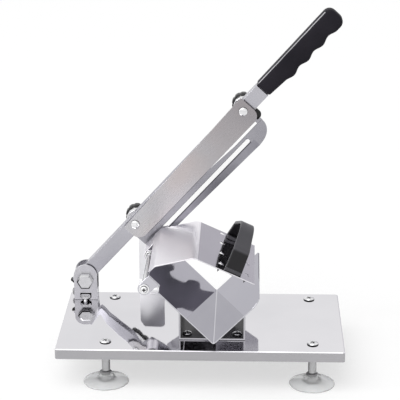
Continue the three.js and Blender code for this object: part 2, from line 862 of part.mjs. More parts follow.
// Each tooth is a triangle cut on two sides and folded down on its front side.
function toothCorners(row, length) {
  return [
    [-toothBase / 2, 0],
    [toothBase / 2, 0],
    [0, length],
  ].map(([across, along]) => [row + across, along]);
}

function toothHole(row, place) {
  const prism = plate(outline(toothCorners(row, toothLength)), pressSheet + 2 * overrun);
  const under = ridge.clone().addScaledVector(offRight, -pressSheet - overrun);
  return placed(prism, downRight, alongDepth, offRight, under.setY(pressFront + place));
}

function tooth(row, place) {
  const blade = plate(outline(toothCorners(row, toothLength + pressSheet)), pressSheet);
  const at = ridge.clone().setY(pressFront + place - pressSheet);
  return placed(blade, downRight, offRight.clone().negate(), alongDepth, at.addScaledVector(offRight, -gap));
}

const strapScrewPlaces = [
  pressFront + strapFromFront + strapPad / 2,
  pressFront + strapFromFront + strapSpan - strapPad / 2,
];
const strapMiddle = strapFromRidge + strapWidth / 2;

function screwOffFace(radius, low, high, y) {
  const made = rodAlongY(radius, 0, 0, low, high);
  const at = ridge.clone().addScaledVector(downRight, strapMiddle).setY(y);
  return placed(made, downRight, offRight, towardFront, at);
}

function pressPlate() {
  const places = toothRows.flatMap((row) => toothPlaces.map((place) => [row, place]));
  const body = joined(bentPlate(), knuckle(), ...places.map(([row, place]) => tooth(row, place)));
  const holes = strapScrewPlaces.map((y) =>
    screwOffFace(strapScrewRadius + holeClearance, -pressSheet - overrun, overrun, y),
  );
  return cutFrom(body, ...places.map(([row, place]) => toothHole(row, place)), ...holes);
}

add(slicer, "press_plate", pressPlate(), polished);

// The strap handle, drawn from the side: out to a knee, over the top, and down again.
function strapHandle() {
  const front = pressFront + strapFromFront;
  const back = front + strapSpan;
  const at = (share) => front + strapSpan * share;
  const knee = strapHeight * strapKneeShare;
  const inKnee = strapThickness * strapInnerShare;
  const shape = outline([
    [front, gap, sheetCorner],
    [front + strapPad, gap, sheetCorner],
    [front + strapPad, strapPadHeight, sheetCorner],
    [front + strapThickness * strapRootShare, strapPadHeight],
    [at(strapFrontKneeShare) + inKnee, knee - inKnee, strapKneeRadius - strapThickness],
    [at(strapTopShare), strapHeight - strapThickness, strapTopRadius - strapThickness],
    [at(strapBackKneeShare) - inKnee, knee - inKnee, strapKneeRadius - strapThickness],
    [back - strapThickness * strapRootShare, strapPadHeight],
    [back - strapPad, strapPadHeight, sheetCorner],
    [back - strapPad, gap, sheetCorner],
    [back, gap, sheetCorner],
    [at(strapBackKneeShare), knee, strapKneeRadius],
    [at(strapTopShare), strapHeight, strapTopRadius],
    [at(strapFrontKneeShare), knee, strapKneeRadius],
  ]);
  const taper = (strapWidth - strapWaist) / 2;
  const plan = outline([
    [front - overrun, 0],
    [at(strapFrontKneeShare), 0],
    [at(strapTopShare), taper, strapTopRadius],
    [at(strapBackKneeShare), 0],
    [back + overrun, 0],
    [back + overrun, strapWidth],
    [at(strapBackKneeShare), strapWidth],
    [at(strapTopShare), strapWidth - taper, strapTopRadius],
    [at(strapFrontKneeShare), strapWidth],
    [front - overrun, strapWidth],
  ]);
  const tapered = plate(plan, strapHeight + 2 * overrun).rotateX(quarterTurn);
  tapered.translate(0, strapHeight + overrun, 0);
  const strap = geometryOf(solidOf(plate(shape, strapWidth)).intersect(solidOf(tapered)));
  placed(strap, alongDepth, offRight, downRight, ridge.clone().addScaledVector(downRight, strapFromRidge));
  const bores = strapScrewPlaces.map((y) =>
    screwOffFace(strapScrewRadius + holeClearance, 0, strapPadHeight - sheetCorner, y),
  );
  return cutFrom(strap, ...bores);
}

add(slicer, "press_handle", strapHandle(), greyPlastic);

strapScrewPlaces.forEach((y, i) => {
  const screw = panScrew(strapScrewHeadRadius, strapScrewHeadHeight, strapScrewRadius, strapScrewLength);
  const under = ridge.clone().addScaledVector(downRight, strapMiddle);
  under.addScaledVector(offRight, -pressSheet - gap).setY(y);
  placed(screw.rotateX(Math.PI), downRight, offRight, towardFront, under);
  add(slicer, "press_handle_screw_" + ["front", "rear"][i], screw, bright);
});

// The arm turns about the pivot. Along it x runs from the pivot to the grip, and z is square to it.
const arm = new THREE.Group();
arm.position.set(pivotFromLeft, 0, pivotHeight);
arm.rotation.y = -armAngle;
slicer.add(arm);

const armBottom = armOffset - armWidth / 2;

function armBar() {
  const length = armTail + armReach;
  const bar = upright(rectangle(-armTail, armBottom, length, armWidth, armCorner), armDepth, armFront);
  const eye = rodAlongY(armEyeRadius, 0, 0, armFront, armBack);
  const tangFront = armMiddle - tangDepth / 2;
  const tangBottom = armOffset - tangWidth / 2;
  const tang = box(armReach - overrun, tangFront, tangBottom, tangLength + overrun, tangDepth, tangWidth);
  const holes = boltPlaces.map((s) =>
    rodAlongY(bladeBoltRadius + holeClearance, s, armOffset, armFront - overrun, armBack + overrun),
  );
  const pivot = rodAlongY(pivotHole, 0, 0, armFront - overrun, armBack + overrun);
  return cutFrom(joined(bar, eye, tang), pivot, ...holes);
}

add(arm, "arm_bar", armBar(), satin);

const bumperLeft = -armTail - gap - bumperThickness;
const bumperBottom = armOffset + armWidth / 2 - gap - bumperWidth;
const bumper = upright(
  rectangle(bumperLeft, bumperBottom, bumperThickness, bumperWidth, sheetCorner),
  bumperDepth,
  armMiddle - bumperDepth / 2,
);
add(arm, "arm_bumper", bumper, rubber);

function boltHoles(front, thickness) {
  return boltPlaces.map((s) =>
    rodAlongY(bladeBoltRadius + holeClearance, s, armOffset, front - overrun, front + thickness + overrun),
  );
}

const clampShape = outline([
  [clampStart, -clampBottom, clampLowerCorner],
  [clampEnd, -clampBottom, clampUpperCorner],
  [clampEnd, clampUpperTop, clampSmallCorner],
  [clampStart, clampLowerTop, clampSmallCorner],
]);
const clampPlate = cutFrom(
  upright(clampShape, clampThickness, clampFront),
  ...boltHoles(clampFront, clampThickness),
);
add(arm, "clamp_plate", clampPlate, satin);

// The blade: a curved heel, a straight edge that falls towards the toe, and a round toe.
function bladeBlank() {
  const shape = new THREE.Shape();
  const toeTip = bladeEnd + sheetCorner;
  shape.moveTo(bladeStart, bladeTop);
  shape.lineTo(bladeStart, -heelDrop);
  shape.quadraticCurveTo(bladeStart + heelRun / 2, -heelEdgeDrop, bladeStart + heelRun, -heelEdgeDrop);
  shape.lineTo(toeTip - toeRun, -toeEdgeDrop);
  shape.quadraticCurveTo(toeTip, -toeEdgeDrop, toeTip, -toeDrop);
  shape.lineTo(bladeEnd, -toeDrop);
  shape.lineTo(bladeEnd, bladeTop);
  shape.closePath();
  return upright(shape, bladeThickness, bladeFront, swellSteps);
}

// The grind takes a wedge off the blade's front, from its line down to the thin cutting edge.
function grindWedge() {
  const low = toeEdgeDrop + overrun;
  const rise = ((bladeThickness - edgeThickness) * (low - grindTopDrop)) / (toeEdgeDrop - grindTopDrop);
  const wedge = plate(
    outline([
      [-grindTopDrop, bladeFront],
      [-low, bladeFront + rise],
      [-low, bladeFront - overrun],
      [-grindTopDrop, bladeFront - overrun],
    ]),
    grindEnd - bladeStart + 2 * overrun,
  );
  const depth = alongDepth.clone();
  const up = new THREE.Vector3(0, 0, 1);
  const back = new THREE.Vector3(-1, 0, 0);
  return placed(wedge, up, depth, back, new THREE.Vector3(grindEnd, 0, 0));
}

// The spacer fills a notch in the blade's end and stands a little past the clamp plate.
const spacerLeft = clampEnd - spacerSunk;
const notch = box(
  spacerLeft - gap,
  bladeFront - overrun,
  -spacerBottom - gap,
  spacerSunk + spacerProud,
  bladeThickness + 2 * overrun,
  spacerBottom - spacerTop + 2 * gap,
);
const blade = cutFrom(bladeBlank(), grindWedge(), notch, ...boltHoles(bladeFront, bladeThickness));
add(arm, "blade", blade, bladeSteel);

const spacerShape = outline([
  [spacerLeft, -spacerBottom],
  [clampEnd + spacerProud, -spacerBottom, spacerCorner],
  [clampEnd + spacerProud, -spacerTop, sheetCorner],
  [spacerLeft, -spacerTop],
]);
add(arm, "blade_spacer", upright(spacerShape, bladeThickness, bladeFront), rubber);

// Each clamp bolt runs from its head on the clamp plate to the thread of its knob.
const bladeBoltHeadBack = clampFront - gap;
const bladeBoltLength = knobFront + knobThreadDepth - holeClearance - bladeBoltHeadBack;
const knobNames = ["lower", "upper"];

function knobBody() {
  const round = turned([
    [0, knobFront],
    [knobRadius - knobEdge, knobFront],
    [knobRadius, knobFront + knobEdge],
    [knobRadius, knobBack - knobEdge],
    [knobRadius - knobEdge, knobBack],
    [0, knobBack],
  ]);
  const boreBack = knobFront + knobThreadDepth;
  const bore = rodAlongY(bladeBoltRadius + holeClearance, 0, 0, knobFront - overrun, boreBack);
  const notches = Array.from({ length: knobNotches }, (_, i) => {
    const angle = (i * 2 * Math.PI) / knobNotches;
    const reach = knobRadius + knobNotchRadius - knobNotchDepth;
    const x = reach * Math.cos(angle);
    const z = reach * Math.sin(angle);
    return rodAlongY(knobNotchRadius, x, z, knobFront - overrun, knobBack + overrun, cornerSteps * 2);
  });
  return cutFrom(round, bore, ...notches);
}

boltPlaces.forEach((s, i) => {
  const place = new THREE.Group();
  place.position.set(s, 0, armOffset);
  arm.add(place);
  const bolt = panScrew(bladeBoltHeadRadius, bladeBoltHeadHeight, bladeBoltRadius, bladeBoltLength);
  bolt.rotateX(Math.PI).translate(0, bladeBoltHeadBack, 0);
  add(place, "blade_bolt_" + knobNames[i], bolt, bright);
  const hole = bladeBoltRadius + holeClearance;
  const ring = washer(knobCollarRadius, hole, knobCollarFront, knobCollarLength);
  add(place, "knob_collar_" + knobNames[i], ring, bright);
  add(place, "knob_" + knobNames[i], knobBody(), blackPlastic);
});

// The grip's lower side swells four times; its long edges are rounded, and a slot takes the tang.
function gripShape() {
  const start = armReach;
  const end = armReach + gripLength;
  const corners = [
    [end, gripEndTop, gripEndRadius],
    [start, gripStartTop],
    [start, -gripStartBottom],
  ];
  const lastShare = 0.5;
  const steps = (gripSwells - lastShare) * swellSteps;
  for (let i = 0; i <= steps; i += 1) {
    const along = (i * gripSwellPitch) / swellSteps;
    const wave = Math.cos((2 * Math.PI * along) / gripSwellPitch);
    corners.push([start + gripSwellStart + along, -gripSwellMean + gripSwellHeight * wave]);
  }
  corners.push([end, -gripSwellMean - gripSwellHeight, gripEndRadius]);
  return outline(corners);
}

function grip() {
  const body = new THREE.ExtrudeGeometry(gripShape(), {
    depth: gripDepth - 2 * gripRound,
    bevelThickness: gripRound,
    bevelSize: gripRound,
    bevelOffset: -gripRound,
    bevelSegments: 3,
    curveSegments: cornerSteps,
  })
    .rotateX(quarterTurn)
    .translate(0, armMiddle + gripDepth / 2 - gripRound, 0);
  const slot = box(
    armReach - overrun,
    armMiddle - tangDepth / 2 - gap,
    armOffset - tangWidth / 2 - gap,
    tangLength + gap + overrun,
    tangDepth + 2 * gap,
    tangWidth + 2 * gap,
  );
  return cutFrom(body, slot).translate(gap, 0, 0);
}

add(arm, "handle_grip", grip(), blackPlastic);

// The guard: a foot on the back lip, a joggle outwards, and a flat plate that stops the slice.
function guardPlate() {
  const low = baseDepth + gap;
  const profile = outline([
    [low, -guardFoot],
    [low + guardSheet, -guardFoot],
    [low + guardSheet, guardJoggleLow],
    [guardFront + guardSheet, guardJoggleHigh],
    [guardFront + guardSheet, guardHeight],
    [guardFront, guardHeight],
    [guardFront, guardJoggleHigh + guardSheet],
    [low, guardJoggleLow + guardSheet],
  ]);
  const up = new THREE.Vector3(0, 0, 1);
  const right = new THREE.Vector3(1, 0, 0);
  const left = new THREE.Vector3(guardFromLeft, 0, 0);
  const body = placed(plate(profile, guardWidth), alongDepth, up, right, left);
  const face = rectangle(guardFromLeft, -guardFoot, guardWidth, guardFoot + guardHeight, guardCorner);
  const mask = upright(face, guardFront + guardSheet + 2 * overrun - baseDepth, baseDepth - overrun);
  const rounded = geometryOf(solidOf(body).intersect(solidOf(mask)));
  const holes = Object.values(guardScrews).map((x) =>
    rodAlongY(guardScrewRadius + holeClearance, x, guardScrewHeight, baseDepth, low + guardSheet + overrun),
  );
  return cutFrom(rounded, ...holes);
}

add(slicer, "guard_plate", guardPlate(), satin);

for (const [place, x] of Object.entries(guardScrews)) {
  const headFront = baseDepth + 2 * gap + guardSheet;
  const nutBack = baseDepth - baseSheet - gap;
  const nutFront = nutBack - guardNutHeight;
  const length = headFront - nutFront + guardScrewSpare;
  const screw = panScrew(guardScrewHeadRadius, guardScrewHeadHeight, guardScrewRadius, length);
  add(slicer, "guard_screw_" + place, screw, bright).position.set(x, headFront, guardScrewHeight);
  const nut = cutFrom(
    hexAlongY(guardNutFlats, nutFront, nutBack),
    rodAlongY(guardScrewRadius + holeClearance, 0, 0, nutFront - overrun, nutBack + overrun),
  );
  add(slicer, "guard_nut_" + place, nut, bright).position.set(x, 0, guardScrewHeight);
}

// The whole stands on the floor, with the origin under the middle of its box.
const object = new THREE.Group();
object.add(slicer);
const extent = new THREE.Box3().setFromObject(slicer);
const middle = extent.getCenter(new THREE.Vector3());
slicer.position.set(-middle.x, -middle.y, -extent.min.z);

export default object;
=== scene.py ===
import bmesh
import bpy
import numpy as np
from mathutils import Matrix, Vector


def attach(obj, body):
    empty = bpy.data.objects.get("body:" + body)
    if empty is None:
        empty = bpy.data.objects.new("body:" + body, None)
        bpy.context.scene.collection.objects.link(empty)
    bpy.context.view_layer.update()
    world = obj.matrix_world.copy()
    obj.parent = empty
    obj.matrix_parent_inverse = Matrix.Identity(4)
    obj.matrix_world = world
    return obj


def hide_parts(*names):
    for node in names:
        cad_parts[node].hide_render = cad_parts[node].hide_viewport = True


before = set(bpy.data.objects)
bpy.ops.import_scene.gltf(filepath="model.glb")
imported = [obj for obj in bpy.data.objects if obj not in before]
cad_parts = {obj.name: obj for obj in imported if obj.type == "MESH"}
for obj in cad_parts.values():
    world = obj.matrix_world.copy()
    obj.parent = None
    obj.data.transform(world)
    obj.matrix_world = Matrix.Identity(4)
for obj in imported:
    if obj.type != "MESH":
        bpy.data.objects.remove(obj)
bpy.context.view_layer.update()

# The looks of the frozen meat slicer. Lengths are in millimetres, measured as in the CAD part: x from the
# base plate's left end, y from its front edge and z from its top face. laid() turns them into the row frame.
plate_corner = np.array([-160.0, -85.6, 48.0])
millimetre, micrometre = 0.001, 0.000001
turn = 2 * np.pi
x_way, y_way, z_way = np.eye(3)
front_view = [0, 2]

# Base plate and feet.
base_length, base_depth, base_sheet, base_corner, lip_depth = 320, 168, 1.5, 3.0, 12
bench_level = -48.0
feet = {
    "front_left": (54.5, 21.5), "front_right": (285.0, 21.5),
    "rear_left": (54.5, 150.5), "rear_right": (285.0, 150.5),
}

# Pieces that are fastened to one another lie this far apart.
clearance = 0.3

# Pivot post: its middle, half width and sheet, the height of its round top's middle, and where its two
# cheeks stand.
pivot = np.array([20.5, 0.0, 25.0])
post_middle = pivot[0] * x_way
post_half, post_round, post_sheet = 13.75, 30.6, 2.0
cheek_front, cheek_back, rear_cheek_middle = 142.0, 144.0, 160.2
floor_middle = clearance + post_sheet / 2

# Trough: its valley, the ways up its two walls, the rod off the left wall, and the bracket that carries it.
valley = np.array([175.7, 0.0, 15.3])
up_left = np.array([-1.0, 0.0, 1.0]) / np.sqrt(2)
up_right = np.array([1.0, 0.0, 1.0]) / np.sqrt(2)
rod_along, rod_off = 92.1, 15.6
rod_axis = valley + rod_along * up_left - rod_off * up_right
trough_sheet = 1.2
bracket_left, bracket_right, bracket_front, bracket_back = 137, 209, 29.0, 129.0

# Press plate: its ridge, and the ways down its right face and out of it.
ridge = np.array([153.8, 0.0, 102.532])
right_slope = np.radians(24.4)
down_right = np.array([np.cos(right_slope), 0.0, -np.sin(right_slope)])
off_right = np.array([np.sin(right_slope), 0.0, np.cos(right_slope)])
press_front, press_back, press_thick = 18.0, 137.8, 1.2
tooth_rows, tooth_places = (31.5, 63.0), (33.0, 65.0, 97.0, 128.0)

# Arm, as photographed: the way along it, the way up square to it, and how deep each layer on it lies. Places
# along it and across it are measured from the pivot.
arm_angle = np.radians(47.7)
arm_way = np.array([np.cos(arm_angle), 0.0, np.sin(arm_angle)])
arm_up = np.array([-np.sin(arm_angle), 0.0, np.cos(arm_angle)])
clamp_front, clamp_back = 141.0, 143.0
clamp_start, clamp_end, clamp_low = 81, 288.3, -14.6
blade_front, blade_middle, blade_back = 143.3, 144.3, 145.3
bar_front, bar_back, bar_middle = 145.6, 157.6, 151.6
bar_low, bar_high, bar_end = -5.65, 12.35, 310.6
bolt_places, bolt_height, collar_back = {"lower": 93.0, "upper": 278.6}, 3.35, 169.9
grip_start = 311.3

# Blade, below the arm's line: the groove, where the ground edge starts, and the edge from heel to toe.
groove_high, groove_low, grind = -22.2, -27.0, -28.4
groove_middle, groove_end = -24.6, 258.0
blade_start, heel, toe, blade_end = 82, 119, 258.8, 285.8
heel_edge, toe_edge = -34, -37.9


# ---------------------------------------------------------------- outlines and surfaces

def unit(vectors):
    """Each vector divided by its own length, and a vector of no length left as it is."""
    size = np.linalg.norm(vectors, axis=-1, keepdims=True)
    return vectors / np.where(size < 1e-9, 1.0, size)


def ease(value):
    """A smooth step from nought to one: three times the square less twice the cube of the clipped value."""
    share = np.clip(value, 0, 1)
    return share**2 * (3 - 2 * share)


def cut_back(beyond, radius):
    """How far a round corner or end stands back at a distance beyond its start: the radius less the root of
    the radius squared less the distance squared."""
    return radius - np.sqrt(np.maximum(radius**2 - np.clip(beyond, 0, radius) ** 2, 0))


def rounded(corners, closed, steps):
    """A polyline whose corners (x, y, radius) become arcs: each arc touches both sides at radius over the
    tangent of half the corner's angle, and its points turn evenly from one touching point to the other."""
    place = np.array([c[:2] for c in corners], float)
    radius = np.array([c[2] if len(c) > 2 else 0.0 for c in corners])
    back = unit(np.roll(place, 1, 0) - place)
    on = unit(np.roll(place, -1, 0) - place)
    if not closed:
        radius[[0, -1]] = 0
    half = np.arccos(np.clip((back * on).sum(1), -1, 1)) / 2
    half = np.clip(half, 1e-3, np.pi / 2 - 1e-4)
    tangent = (radius / np.tan(half))[:, None]
    centre = place + unit(back + on) * (radius / np.sin(half))[:, None]
    start, end = place + back * tangent - centre, place + on * tangent - centre
    sweep = (np.pi - 2 * half)[:, None]
    share = np.linspace(0, 1, steps + 1)[None, :]
    first = np.sin((1 - share) * sweep) / np.sin(sweep)
    last = np.sin(share * sweep) / np.sin(sweep)
    line = centre[:, None] + first[..., None] * start[:, None] + last[..., None] * end[:, None]
    line = line.reshape(-1, 2)
    line = line[np.r_[True, np.linalg.norm(np.diff(line, axis=0), axis=1) > 1e-5]]
    if closed and np.linalg.norm(line[0] - line[-1]) < 1e-5:
        line = line[:-1]
    return line


def oblong(low, high, radius, steps=7):
    """A rectangle between two opposite corners, with all four corners rounded alike."""
    (x0, y0), (x1, y1) = low, high
    return rounded([(x0, y0, radius), (x1, y0, radius), (x1, y1, radius), (x0, y1, radius)], True, steps)


def run_length(line):
    """How far along a polyline each of its points lies."""
    return np.r_[0, np.cumsum(np.linalg.norm(np.diff(line, axis=0), axis=1))]


def at_lengths(line, wanted):
    """The points of a polyline at the wanted lengths along it."""
    length = run_length(line)
    return np.stack([np.interp(wanted, length, line[:, 0]), np.interp(wanted, length, line[:, 1])], 1)


def finer(line, spacing):
    """The same polyline with extra points, so that no two neighbours are further apart than the spacing."""
    length = run_length(line)
    stations = np.union1d(length, np.linspace(0, length[-1], int(length[-1] / spacing) + 2))
    return at_lengths(line, stations[np.r_[True, np.diff(stations) > 1e-4]])


def smooth_line(points, count):
    """A curve through the points: between two neighbours it is the cubic whose slopes are half the chord
    from the point before to the point after."""
    p = np.array(points, float)
    p = np.vstack([2 * p[0] - p[1], p, 2 * p[-1] - p[-2]])
    t = np.linspace(0, len(points) - 1 - 1e-9, count)
    i = t.astype(int)
    f = (t - i)[:, None]
    a, b, c, d = p[i], p[i + 1], p[i + 2], p[i + 3]
    return 0.5 * (2 * b + (c - a) * f + (2 * a - 5 * b + 4 * c - d) * f**2 + (3 * b - a - 3 * c + d) * f**3)


def band(rings, places):
    """Quads of a grid: place j on ring i joins place j + 1, and the same two places on ring i + 1."""
    i, j = np.meshgrid(np.arange(rings - 1), np.arange(places), indexing="ij")
    k = (j + 1) % places
    quads = np.stack([i * places + j, i * places + k, (i + 1) * places + k, (i + 1) * places + j], -1)
    return quads.reshape(-1, 4)


def loft(rings, capped=True):
    """A closed shell from rings of points, with a flat face over the first and the last ring."""
    count, places = rings.shape[:2]
    faces = [band(count, places)]
    if capped:
        first = np.arange(places)[None]
        faces += [first, first + (count - 1) * places]
    return rings.reshape(-1, 3), faces


def hoop(rings):
    """A closed shell from rings that follow one another round, the last one joined to the first."""
    count, places = rings.shape[:2]
    return rings.reshape(-1, 3), [band(count + 1, places) % (count * places)]


def around(radius, height, angle):
    """Points at a radius and a height, at each angle round the third direction."""
    return np.stack([radius * np.cos(angle), radius * np.sin(angle), height + 0 * angle], -1)


def turned(profile, sides):
    """A surface of revolution: each (radius, height) of the profile becomes a circle at that height."""
    profile = np.asarray(profile, float)
    return around(profile[:, :1], profile[:, 1:], np.linspace(0, turn, sides, endpoint=False))


def spun(profile, sides):
    """The shell of a surface of revolution whose profile starts and ends on the axis."""
    return loft(turned(profile, sides), False)


def inset(line, amount):
    """A closed outline moved inwards: each corner goes along the mean of its two sides' inward normals,
    lengthened so that both sides move by the same amount."""
    along = unit(np.roll(line, -1, 0) - line)
    area = np.sum(line[:, 0] * np.roll(line[:, 1], -1) - line[:, 1] * np.roll(line[:, 0], -1))
    inward = np.stack([-along[:, 1], along[:, 0]], 1) * np.sign(area)
    before = np.roll(inward, 1, 0)
    reach = 1 + (inward * before).sum(1, keepdims=True)
    return line + amount * (inward + before) / np.maximum(reach, 0.3)


def slab(line, low, high, edge, steps=3):
    """A flat plate of a closed outline from low to high: towards both faces the outline shrinks along a
    quarter circle, inset by edge * (1 - sine) at edge * (1 - cosine) from the face."""
    angle = np.linspace(0, np.pi / 2, steps + 1)
    inwards = edge * (1 - np.sin(angle))
    depths = edge * (1 - np.cos(angle))
    rings = np.array([inset(line, amount) for amount in inwards])
    heights = np.r_[low + depths, high - depths[::-1]]
    heights = np.repeat(heights[:, None, None], len(line), 1)
    return loft(np.concatenate([np.concatenate([rings, rings[::-1]]), heights], -1))


def strip(line, low, high, sheet, edge):
    """A bent sheet: its middle line carries a narrow rectangle with cut corners, which runs from low to high
    across and half the sheet's thickness to each side along the line's normal, lengthened at a corner by one
    over the cosine of half its turn."""
    line = np.asarray(line, float)
    sides = unit(np.diff(line, axis=0))
    before, after = np.vstack([sides[:1], sides]), np.vstack([sides, sides[-1:]])
    along = unit(before + after)
    mitre = 1 / np.maximum((before * along).sum(1, keepdims=True), 0.3)
    normal = np.stack([-along[:, 1], along[:, 0]], 1) * mitre
    low, high = np.broadcast_to(low, len(line)), np.broadcast_to(high, len(line))
    cut = np.minimum(edge, (high - low) / 2.01)
    half = sheet / 2
    across = np.stack([low, low + cut, high - cut, high, high, high - cut, low + cut, low], 1)
    off = np.array([-half + edge, -half, -half, -half + edge, half - edge, half, half, half - edge])
    place = line[:, None] + normal[:, None] * off[None, :, None]
    return loft(np.concatenate([place, across[..., None]], -1))


# ---------------------------------------------------------------- shells and where they are set
# A shell is its points, its faces as arrays of corner numbers, and, where it has any, the painted shade of each
# point: how far its colour is painted dark to stand in for shade, in recesses, under heads, on sides turned from
# the light and under other parts.

def set_on(shell, origin, x, y, z):
    """A shell given along three directions, carried to an origin: origin + x * first + y * second + z * third."""
    p = shell[0]
    return origin + p[..., :1] * x + p[..., 1:2] * y + p[..., 2:] * z, *shell[1:]


def along_depth(shell, origin=np.zeros(3), towards_front=False):
    """A shell made along its third direction, set on an origin to run back, or towards the front."""
    return set_on(shell, origin, x_way, z_way, -y_way if towards_front else y_way)


def across_plate(shell, origin):
    """A shell drawn as seen from the right, depth and height first, set so that its third direction is x."""
    return set_on(shell, origin, y_way, z_way, x_way)


def on_arm(shell):
    """A shell made along the arm, up square to it, and in depth, carried to the arm as photographed."""
    return set_on(shell, pivot, arm_way, arm_up, y_way)


def upright(shell, origin, slant=0.0):
    """A standing shell whose first direction is turned towards the rear by the slant."""
    return set_on(shell, origin, unit(x_way + slant * y_way), unit(y_way - slant * x_way), z_way)


def painted_shade_of(shell):
    """The painted shade of each of a shell's points, which is nought where the shell brings none."""
    return np.ravel(shell[2]) if len(shell) > 2 else np.zeros(len(shell[0]))


def with_painted_shade(shell, least):
    """The same shell with at least this much painted shade at each of its points."""
    return shell[0], shell[1], np.maximum(painted_shade_of(shell), least)


# ---------------------------------------------------------------- screws, bolts and rings

plate_shank, small_shank = 2.4, 1.9


def hex_head(flats, low, high, both_ends=False, painted_dark=(0.6, 0.6)):
    """A hexagon head or nut along its third direction. The outer 0.17 of its reach is a chamfer that drops
    by half of its width, and both_ends cuts the lower side as deep. Its last argument gives the painted shade
    of the side faces and of the chamfer, both strongest towards the lower left, the side turned from the light."""
    angle = np.linspace(0, turn, 96, endpoint=False)
    edge = flats / 2 / np.cos(angle % (turn / 6) - turn / 12)
    flat_share, darkest_way = 0.83, np.radians(235)
    reach = edge * np.linspace(flat_share, 1, 5)[:, None]
    drop = (reach - flat_share * edge) * 0.5
    dish = np.array([around(share * edge, high, angle) for share in (1e-6, 0.5, 0.82)])
    top = around(reach, high - drop, angle)
    bottom = around(reach, low + drop * (1.0 if both_ends else 0.4), angle)[::-1]
    just = np.array([0, 0, 0.03])
    foot = around(1e-6, low, angle)[None]
    rings = np.concatenate([dish, top, top[-1:] - just, bottom[:1] + just, bottom, foot])
    painted_shade = np.zeros(rings.shape[:2])
    # Painted shade, strongest on the lower left, the side turned from the light.
    lower_left = np.clip(0.45 + 1.3 * np.cos(angle - darkest_way), 0, 1)
    painted_shade[3:8] = painted_dark[1] * lower_left
    painted_shade[8:] = painted_dark[0] * lower_left
    return *loft(rings, capped=False), painted_shade


def threaded(radius, low, high, pitch, depth):
    """The profile of a threaded shank: the radius swings between the crest and the root as the triangle wave
    of the height over the pitch, and both ends are cut back by a cone 0.8 long."""
    height = np.arange(low, high, pitch / 4)
    swing = np.abs((height / pitch) % 1 - 0.5) * 2
    cone = 0.8
    ends = np.clip(np.minimum(height - low, high - height) / cone, 0, 1)
    return np.c_[np.minimum(radius - depth * swing, radius - cone * (1 - ends)), height]


def shank(plain, radius, low, high, pitch, depth, sides=48):
    """A bolt's shank: the (radius, height) places of its plain part, then its thread, closed by a flat end."""
    return spun(np.vstack([plain, threaded(radius, low, high, pitch, depth), [[0, high]]]), sides)


def cross_head(radius, height, deep):
    """A domed screw head: its height is (1 - (r/R)^3) ^ 0.45 of the full height, less a cross recess whose
    arms reach 0.56 of the radius and fall away smoothly at their sides and ends. The recess and the outer edge
    of the rim carry painted shade."""
    share = np.unique(np.r_[np.linspace(0, 0.64, 15), np.sin(np.linspace(0.72, np.pi / 2, 12))])
    angle = np.linspace(0, turn, 96, endpoint=False)
    r = share[:, None] * radius
    x, y = r * np.cos(angle), r * np.sin(angle)
    z = height * np.clip(1 - share[:, None] ** 3, 0, 1) ** 0.45 + 0 * angle
    half, reach = 0.15 * radius, 0.56 * radius
    side_fall, end_fall = half * 0.7, 0.25 * reach
    arm = ease((half * 1.35 - np.abs(y)) / side_fall) * ease((reach - np.abs(x)) / end_fall)
    other = ease((half * 1.35 - np.abs(x)) / side_fall) * ease((reach - np.abs(y)) / end_fall)
    cross = np.maximum(arm, other)
    painted_shade = np.maximum(cross * (deep > 0), ease((share[:, None] - 0.93) / 0.06) + 0 * angle)
    return np.stack([x, y, z - deep * height * cross], -1), painted_shade


def screw(head_radius, head_height, shank_radius, shank_length, deep=0.55):
    """A screw along its third direction: the domed head stands on zero and the threaded shank goes down. deep
    is the depth of the head's recess as a share of its height. Under the head and along the shank the screw
    carries full painted shade."""
    head, painted_shade = cross_head(head_radius, head_height, deep)
    sides = head.shape[1]
    thread = turned(threaded(shank_radius, -shank_length, -0.4, 0.8, 0.22)[::-1], sides)
    under = turned([[head_radius * 0.985, -0.001], [shank_radius, -0.001]], sides)
    tip = turned([[0, -shank_length]], sides)
    rings = np.concatenate([head, under, thread, tip])
    painted_shade = np.concatenate([painted_shade, np.ones((len(rings) - len(head), sides))])
    return *loft(rings, capped=False), painted_shade


def ring_shell(outer, inner, low, high, edge=0.2):
    """A washer or tube: the rectangle between two radii and two heights, its corners cut, turned full circle."""
    return hoop(turned(oblong((inner, low), (outer, high), edge, 3), 72))


# ---------------------------------------------------------------- pieces and what they ride on

def linked(name, data):
    """A new object of this data, put into the scene."""
    made = bpy.data.objects.new(name, data)
    bpy.context.scene.collection.objects.link(made)
    return made


def choose_finishes(mesh, others):
    """The faces that each rule picks, by their middles in millimetres and their normals, get its finish."""
    middles, normals = np.zeros(len(mesh.polygons) * 3), np.zeros(len(mesh.polygons) * 3)
    mesh.polygons.foreach_get("center", middles)
    mesh.polygons.foreach_get("normal", normals)
    middles, normals = middles.reshape(-1, 3) * 1000 - plate_corner, normals.reshape(-1, 3)
    choice = np.zeros(len(mesh.polygons), int)
    for index, (other, rule) in enumerate(others):
        mesh.materials.append(other)
        choice[rule(middles, normals)] = index + 1
    mesh.polygons.foreach_set("material_index", choice)


